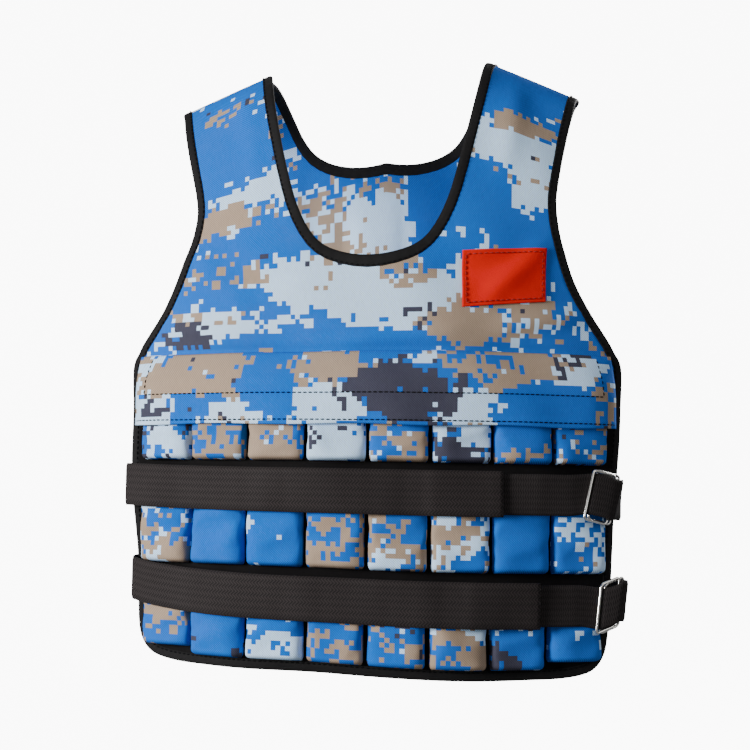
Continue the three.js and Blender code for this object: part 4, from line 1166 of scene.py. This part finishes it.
def makePatch():
    # a small slanted rectangle with a slightly raised satin border
    u, v = np.meshgrid(np.linspace(0, 1, 60), np.linspace(0, 1, 40))
    across = (patch["inner"] + (patch["outer"] - patch["inner"]) * u) * halfWidth
    down = (patch["innerTop"] + (patch["outerTop"] - patch["innerTop"]) * u + patch["tall"] * v) * drop
    wide, tall = (patch["outer"] - patch["inner"]) * halfWidth, patch["tall"] * drop
    rim = np.minimum(np.minimum(u, 1 - u) * wide, np.minimum(v, 1 - v) * tall)
    lift = clothFace + patch["clear"] + patch["thick"] / 2 + patch["borderRise"] * (rim < patch["border"])
    lift += patch["ripple"] * np.sin(u * 9) * np.sin(v * 5 + 1)
    points = raised(front, across, down, lift).reshape(-1, 3)
    guide = outwardAt(np.full(across.shape, front), across, down).reshape(-1, 3)
    quads = orient(points, gridFaces(*across.shape), guide)
    cloth = np.stack([across.ravel(), -down.ravel()], 1)
    piece = makePiece("chest_patch_cloth", points, quads, cloth, [redMaterial], ["chest_patch"], "red_cloth")
    clothSheet(piece, patch["thick"])


makePatch()
print("patch made")


# sewing thread

sewing = dict(
    stitch=0.0041, pitch=0.0049, radius=0.0006,
    along=(-0.5, -0.3, 0.0, 0.3, 0.5), rise=(-0.8, 0.5, 0.9, 0.5, -0.8), thick=(0.45, 0.9, 1.0, 0.9, 0.45),
    flapSide=0.87, flapTop=0.5135, flapLow=0.572, flapHem=0.6135, hemSide=0.935, patchInset=0.045,
    patchTall=1.6, patchLift=0.0009, tapeInset=0.78, tapeLift=0.86, quiltHead=0.02, quiltFoot=0.012,
)


def makeStitches(name, lines, material, slot):
    # each stitch is a short thread of five rings of six points, thickest in the middle, lying along its line
    parts = []
    for face, across, down, lift in lines:
        across, down, lift = np.broadcast_arrays(across, down, lift)
        place = raised(face, across, down, lift)
        outward = outwardAt(np.full(across.shape, face), across, down)
        run = np.concatenate([[0], np.cumsum(np.linalg.norm(np.diff(place, axis=0), axis=1))])
        count = int(run[-1] / sewing["pitch"])
        middle = (np.arange(count) + 0.5) * run[-1] / count
        t = np.array(sewing["along"])
        at = middle[:, None] + t[None, :] * sewing["stitch"]
        centre = np.stack([np.interp(at, run, place[:, k]) for k in range(3)], -1)
        out = np.stack([np.interp(middle, run, outward[:, k]) for k in range(3)], -1)
        out /= np.linalg.norm(out, axis=1, keepdims=True)
        along = centre[:, -1] - centre[:, 0]
        along /= np.linalg.norm(along, axis=1, keepdims=True)
        side = np.cross(along, out)
        centre = centre + out[:, None] * (np.array(sewing["rise"]) * sewing["radius"])[None, :, None]
        thick = np.array(sewing["thick"]) * sewing["radius"]
        angle = np.linspace(0, 2 * math.pi, 6, endpoint=False)
        points = centre[:, :, None] + thick[None, :, None, None] * (
            np.cos(angle)[None, None, :, None] * side[:, None, None]
            + np.sin(angle)[None, None, :, None] * out[:, None, None])
        ends = [[3, 2, 1, 0], [5, 4, 3, 0], [24, 25, 26, 27], [24, 27, 28, 29]]
        single = np.vstack([gridFaces(5, 6, False, True), ends])
        quads = (single[None] + (np.arange(count) * 30)[:, None, None]).reshape(-1, 4)
        points = points.reshape(-1, 3)
        cloth = np.stack([np.repeat(at.ravel(), 6), np.tile(angle * sewing["radius"], count * 5)], 1)
        parts.append((points, orient(points, quads), cloth))
    return makePiece(name, *joined(parts), [material], (), slot)


def flapStitches(name, face):
    # a long rectangle below the flap's seam, and one line along its hem
    def line(u, v, count=400):
        across, down = np.linspace(u[0], u[1], count) * halfWidth, np.linspace(v[0], v[1], count) * drop
        return face, across, down, flapLift(across, down) + flaps["thick"]
    edge, top, low, hem = (sewing[key] for key in ("flapSide", "flapTop", "flapLow", "flapHem"))
    lines = [line((-edge, edge), (low, low)), line((-edge, -edge), (top, low), 60),
             line((edge, edge), (low, top), 60),
             line((-sewing["hemSide"], sewing["hemSide"]), (hem, hem))]
    return makeStitches(name, lines, threadMaterial, "black_cloth")


def bindingStitches(name, table, inward, faces):
    # a line near the held side of the tape, on both halves of each face
    lines = []
    for face in faces:
        free = tableLine(table, (len(table) - 1) * 24 + 1)
        held = insetLine(free, body["bindingWidth"] * sewing["tapeInset"], inward)
        lift = tapes["thick"] / 2 * sewing["tapeLift"]
        for side in (1, -1):
            lines.append((face, side * held[:, 0], np.maximum(held[:, 1], 0.0005), lift))
    return makeStitches(name, lines, threadMaterial, "binding_tape")


flapStitches("front_flap_thread", front)
flapStitches("back_flap_thread", back)
bindingStitches("edge_thread", sideEdge, 1, (front, back))
bindingStitches("front_neck_thread", frontNeck, -1, (front,))
bindingStitches("back_neck_thread", backNeck, -1, (back,))


def patchStitches():
    # four lines a little inside the patch's edge
    inset = sewing["patchInset"]
    u = np.array([inset, 1 - inset, 1 - inset, inset, inset])
    tall = inset * sewing["patchTall"]
    v = np.array([tall, tall, 1 - tall, 1 - tall, tall])
    lines = []
    for k in range(4):
        a, b = np.linspace(u[k], u[k + 1], 60), np.linspace(v[k], v[k + 1], 60)
        across = (patch["inner"] + (patch["outer"] - patch["inner"]) * a) * halfWidth
        down = (patch["innerTop"] + (patch["outerTop"] - patch["innerTop"]) * a + patch["tall"] * b) * drop
        lines.append((front, across, down, clothFace + sewing["patchLift"] + patch["thick"]))
    return makeStitches("patch_thread", lines, redThread, "red_cloth")


patchStitches()


def quiltStitches():
    # one line of thread down each valley of the back rows
    lines = []
    for row in pocketRows:
        for k in range(-3, 4):
            down = np.linspace(row["top"] + sewing["quiltHead"], row["bottom"] - sewing["quiltFoot"], 60) * drop
            lift = pocketBase + body["pocketFill"] * quilt["valley"] + 0 * down
            lines.append((back, k * pitch * row["spread"] + 0 * down, down, lift))
    return makeStitches("back_quilt_thread", lines, threadMaterial, "black_cloth")


quiltStitches()
print("thread sewn")


# floor, light and camera

studio = dict(
    radius=3.4, curve=1.2, floor=-0.95, wall=2.8, colour=paint(248, 248, 248), glow=10.0,
    air=(0.95, 0.97, 1.0, 1), airStrength=0.2,
    # place, aim, size, power, seen by the camera
    lights=dict(
        keyLight=((-1.9, -1.6, -0.05), (0, 0, -0.3), 0.8, 100, True),
        fillLight=((1.9, -1.6, 0.3), (0, 0, -0.3), 1.6, 9, True),
        rearLight=((1.5, 1.8, 0.8), (0, 0, -0.3), 0.9, 52, True),
        topLight=((0.0, -0.5, 1.7), (0, 0.05, -0.3), 1.4, 5, True),
        neckLight=((0.02, -0.03, -0.09), (0.0, 0.11, -0.12), 0.12, 0.10, False),  # inside of the back
    ),
)
# the photograph's own perspective: turns in radians, focal length in its pixels
photo = dict(place=(0.10233, -1.40002, -0.39418), yaw=-0.073977, tilt=0.083869, roll=0.012997,
             focal=1461.65, wide=750, sensor=36)


def makeBackdrop():
    # a floor disc that turns up into a round wall: profile of floor, quarter circle and wall, spun about Z
    turn = np.linspace(0, math.pi / 2, 14)
    flat = studio["radius"] - studio["curve"]
    r = np.concatenate([[0.0001, flat * 0.5], flat + studio["curve"] * np.sin(turn), [studio["radius"]]])
    z = np.concatenate([[0, 0], studio["curve"] * (1 - np.cos(turn)), [studio["wall"]]])
    z = z + studio["floor"]
    angle = np.linspace(0, 2 * math.pi, 72, endpoint=False)
    ring = np.stack([r[:, None] * np.cos(angle), r[:, None] * np.sin(angle), z[:, None] + 0 * angle], -1)
    points = ring.reshape(-1, 3)
    quads = gridFaces(len(r), 72, False, True)
    mesh = bpy.data.meshes.new("backdrop")
    mesh.from_pydata(points.tolist(), [], quads[:, ::-1].tolist())
    mesh.polygons.foreach_set("use_smooth", np.ones(len(mesh.polygons), bool))
    material = bpy.data.materials.new("backdropPaper")
    material.use_nodes = True
    material.node_tree.nodes["Principled BSDF"].inputs["Base Color"].default_value = studio["colour"]
    material.node_tree.nodes["Principled BSDF"].inputs["Roughness"].default_value = 0.9
    material.node_tree.nodes["Principled BSDF"].inputs["Emission Color"].default_value = studio["colour"]
    material.node_tree.nodes["Principled BSDF"].inputs["Emission Strength"].default_value = studio["glow"]
    mesh.materials.append(material)
    backdrop = bpy.data.objects.new("backdrop", mesh)
    scene.collection.objects.link(backdrop)
    backdrop.visible_glossy = False
    backdrop.visible_diffuse = False  # the bright paper doesn't flood the vest with light


def makeLight(name, place, aim, size, power, seen):
    light = bpy.data.lights.new(name, "AREA")
    light.shape, light.size, light.energy = "DISK", size, power
    lamp = bpy.data.objects.new(name, light)
    scene.collection.objects.link(lamp)
    lamp.location = place
    lamp.visible_camera = seen
    way = np.array(aim) - np.array(place)
    lamp.rotation_euler = Vector(way).to_track_quat("-Z", "Y").to_euler()


def makeCamera():
    # ahead = the way the camera looks; right and up are then turned round it by the roll
    yaw, tilt, roll = photo["yaw"], photo["tilt"], photo["roll"]
    ahead = np.array([math.sin(yaw) * math.cos(tilt), math.cos(yaw) * math.cos(tilt), math.sin(tilt)])
    right = np.array([math.cos(yaw), -math.sin(yaw), 0])
    up = np.cross(right, ahead)
    turnedRight = math.cos(roll) * right + math.sin(roll) * up
    turnedUp = -math.sin(roll) * right + math.cos(roll) * up
    data = bpy.data.cameras.new("photoCamera")
    data.lens, data.sensor_width = photo["focal"] / photo["wide"] * photo["sensor"], photo["sensor"]
    camera = bpy.data.objects.new("photoCamera", data)
    scene.collection.objects.link(camera)
    turn = Matrix.Identity(4)
    for k in range(3):
        turn[k][0], turn[k][1], turn[k][2] = turnedRight[k], turnedUp[k], -ahead[k]
        turn[k][3] = photo["place"][k]
    camera.matrix_world = turn
    scene.camera = camera


makeBackdrop()
for name, values in studio["lights"].items():
    makeLight(name, *values)
world = bpy.data.worlds.new("studioAir")
world.use_nodes = True
world.node_tree.nodes["Background"].inputs[0].default_value = studio["air"]
world.node_tree.nodes["Background"].inputs[1].default_value = studio["airStrength"]
scene.world = world
makeCamera()
print("studio set")
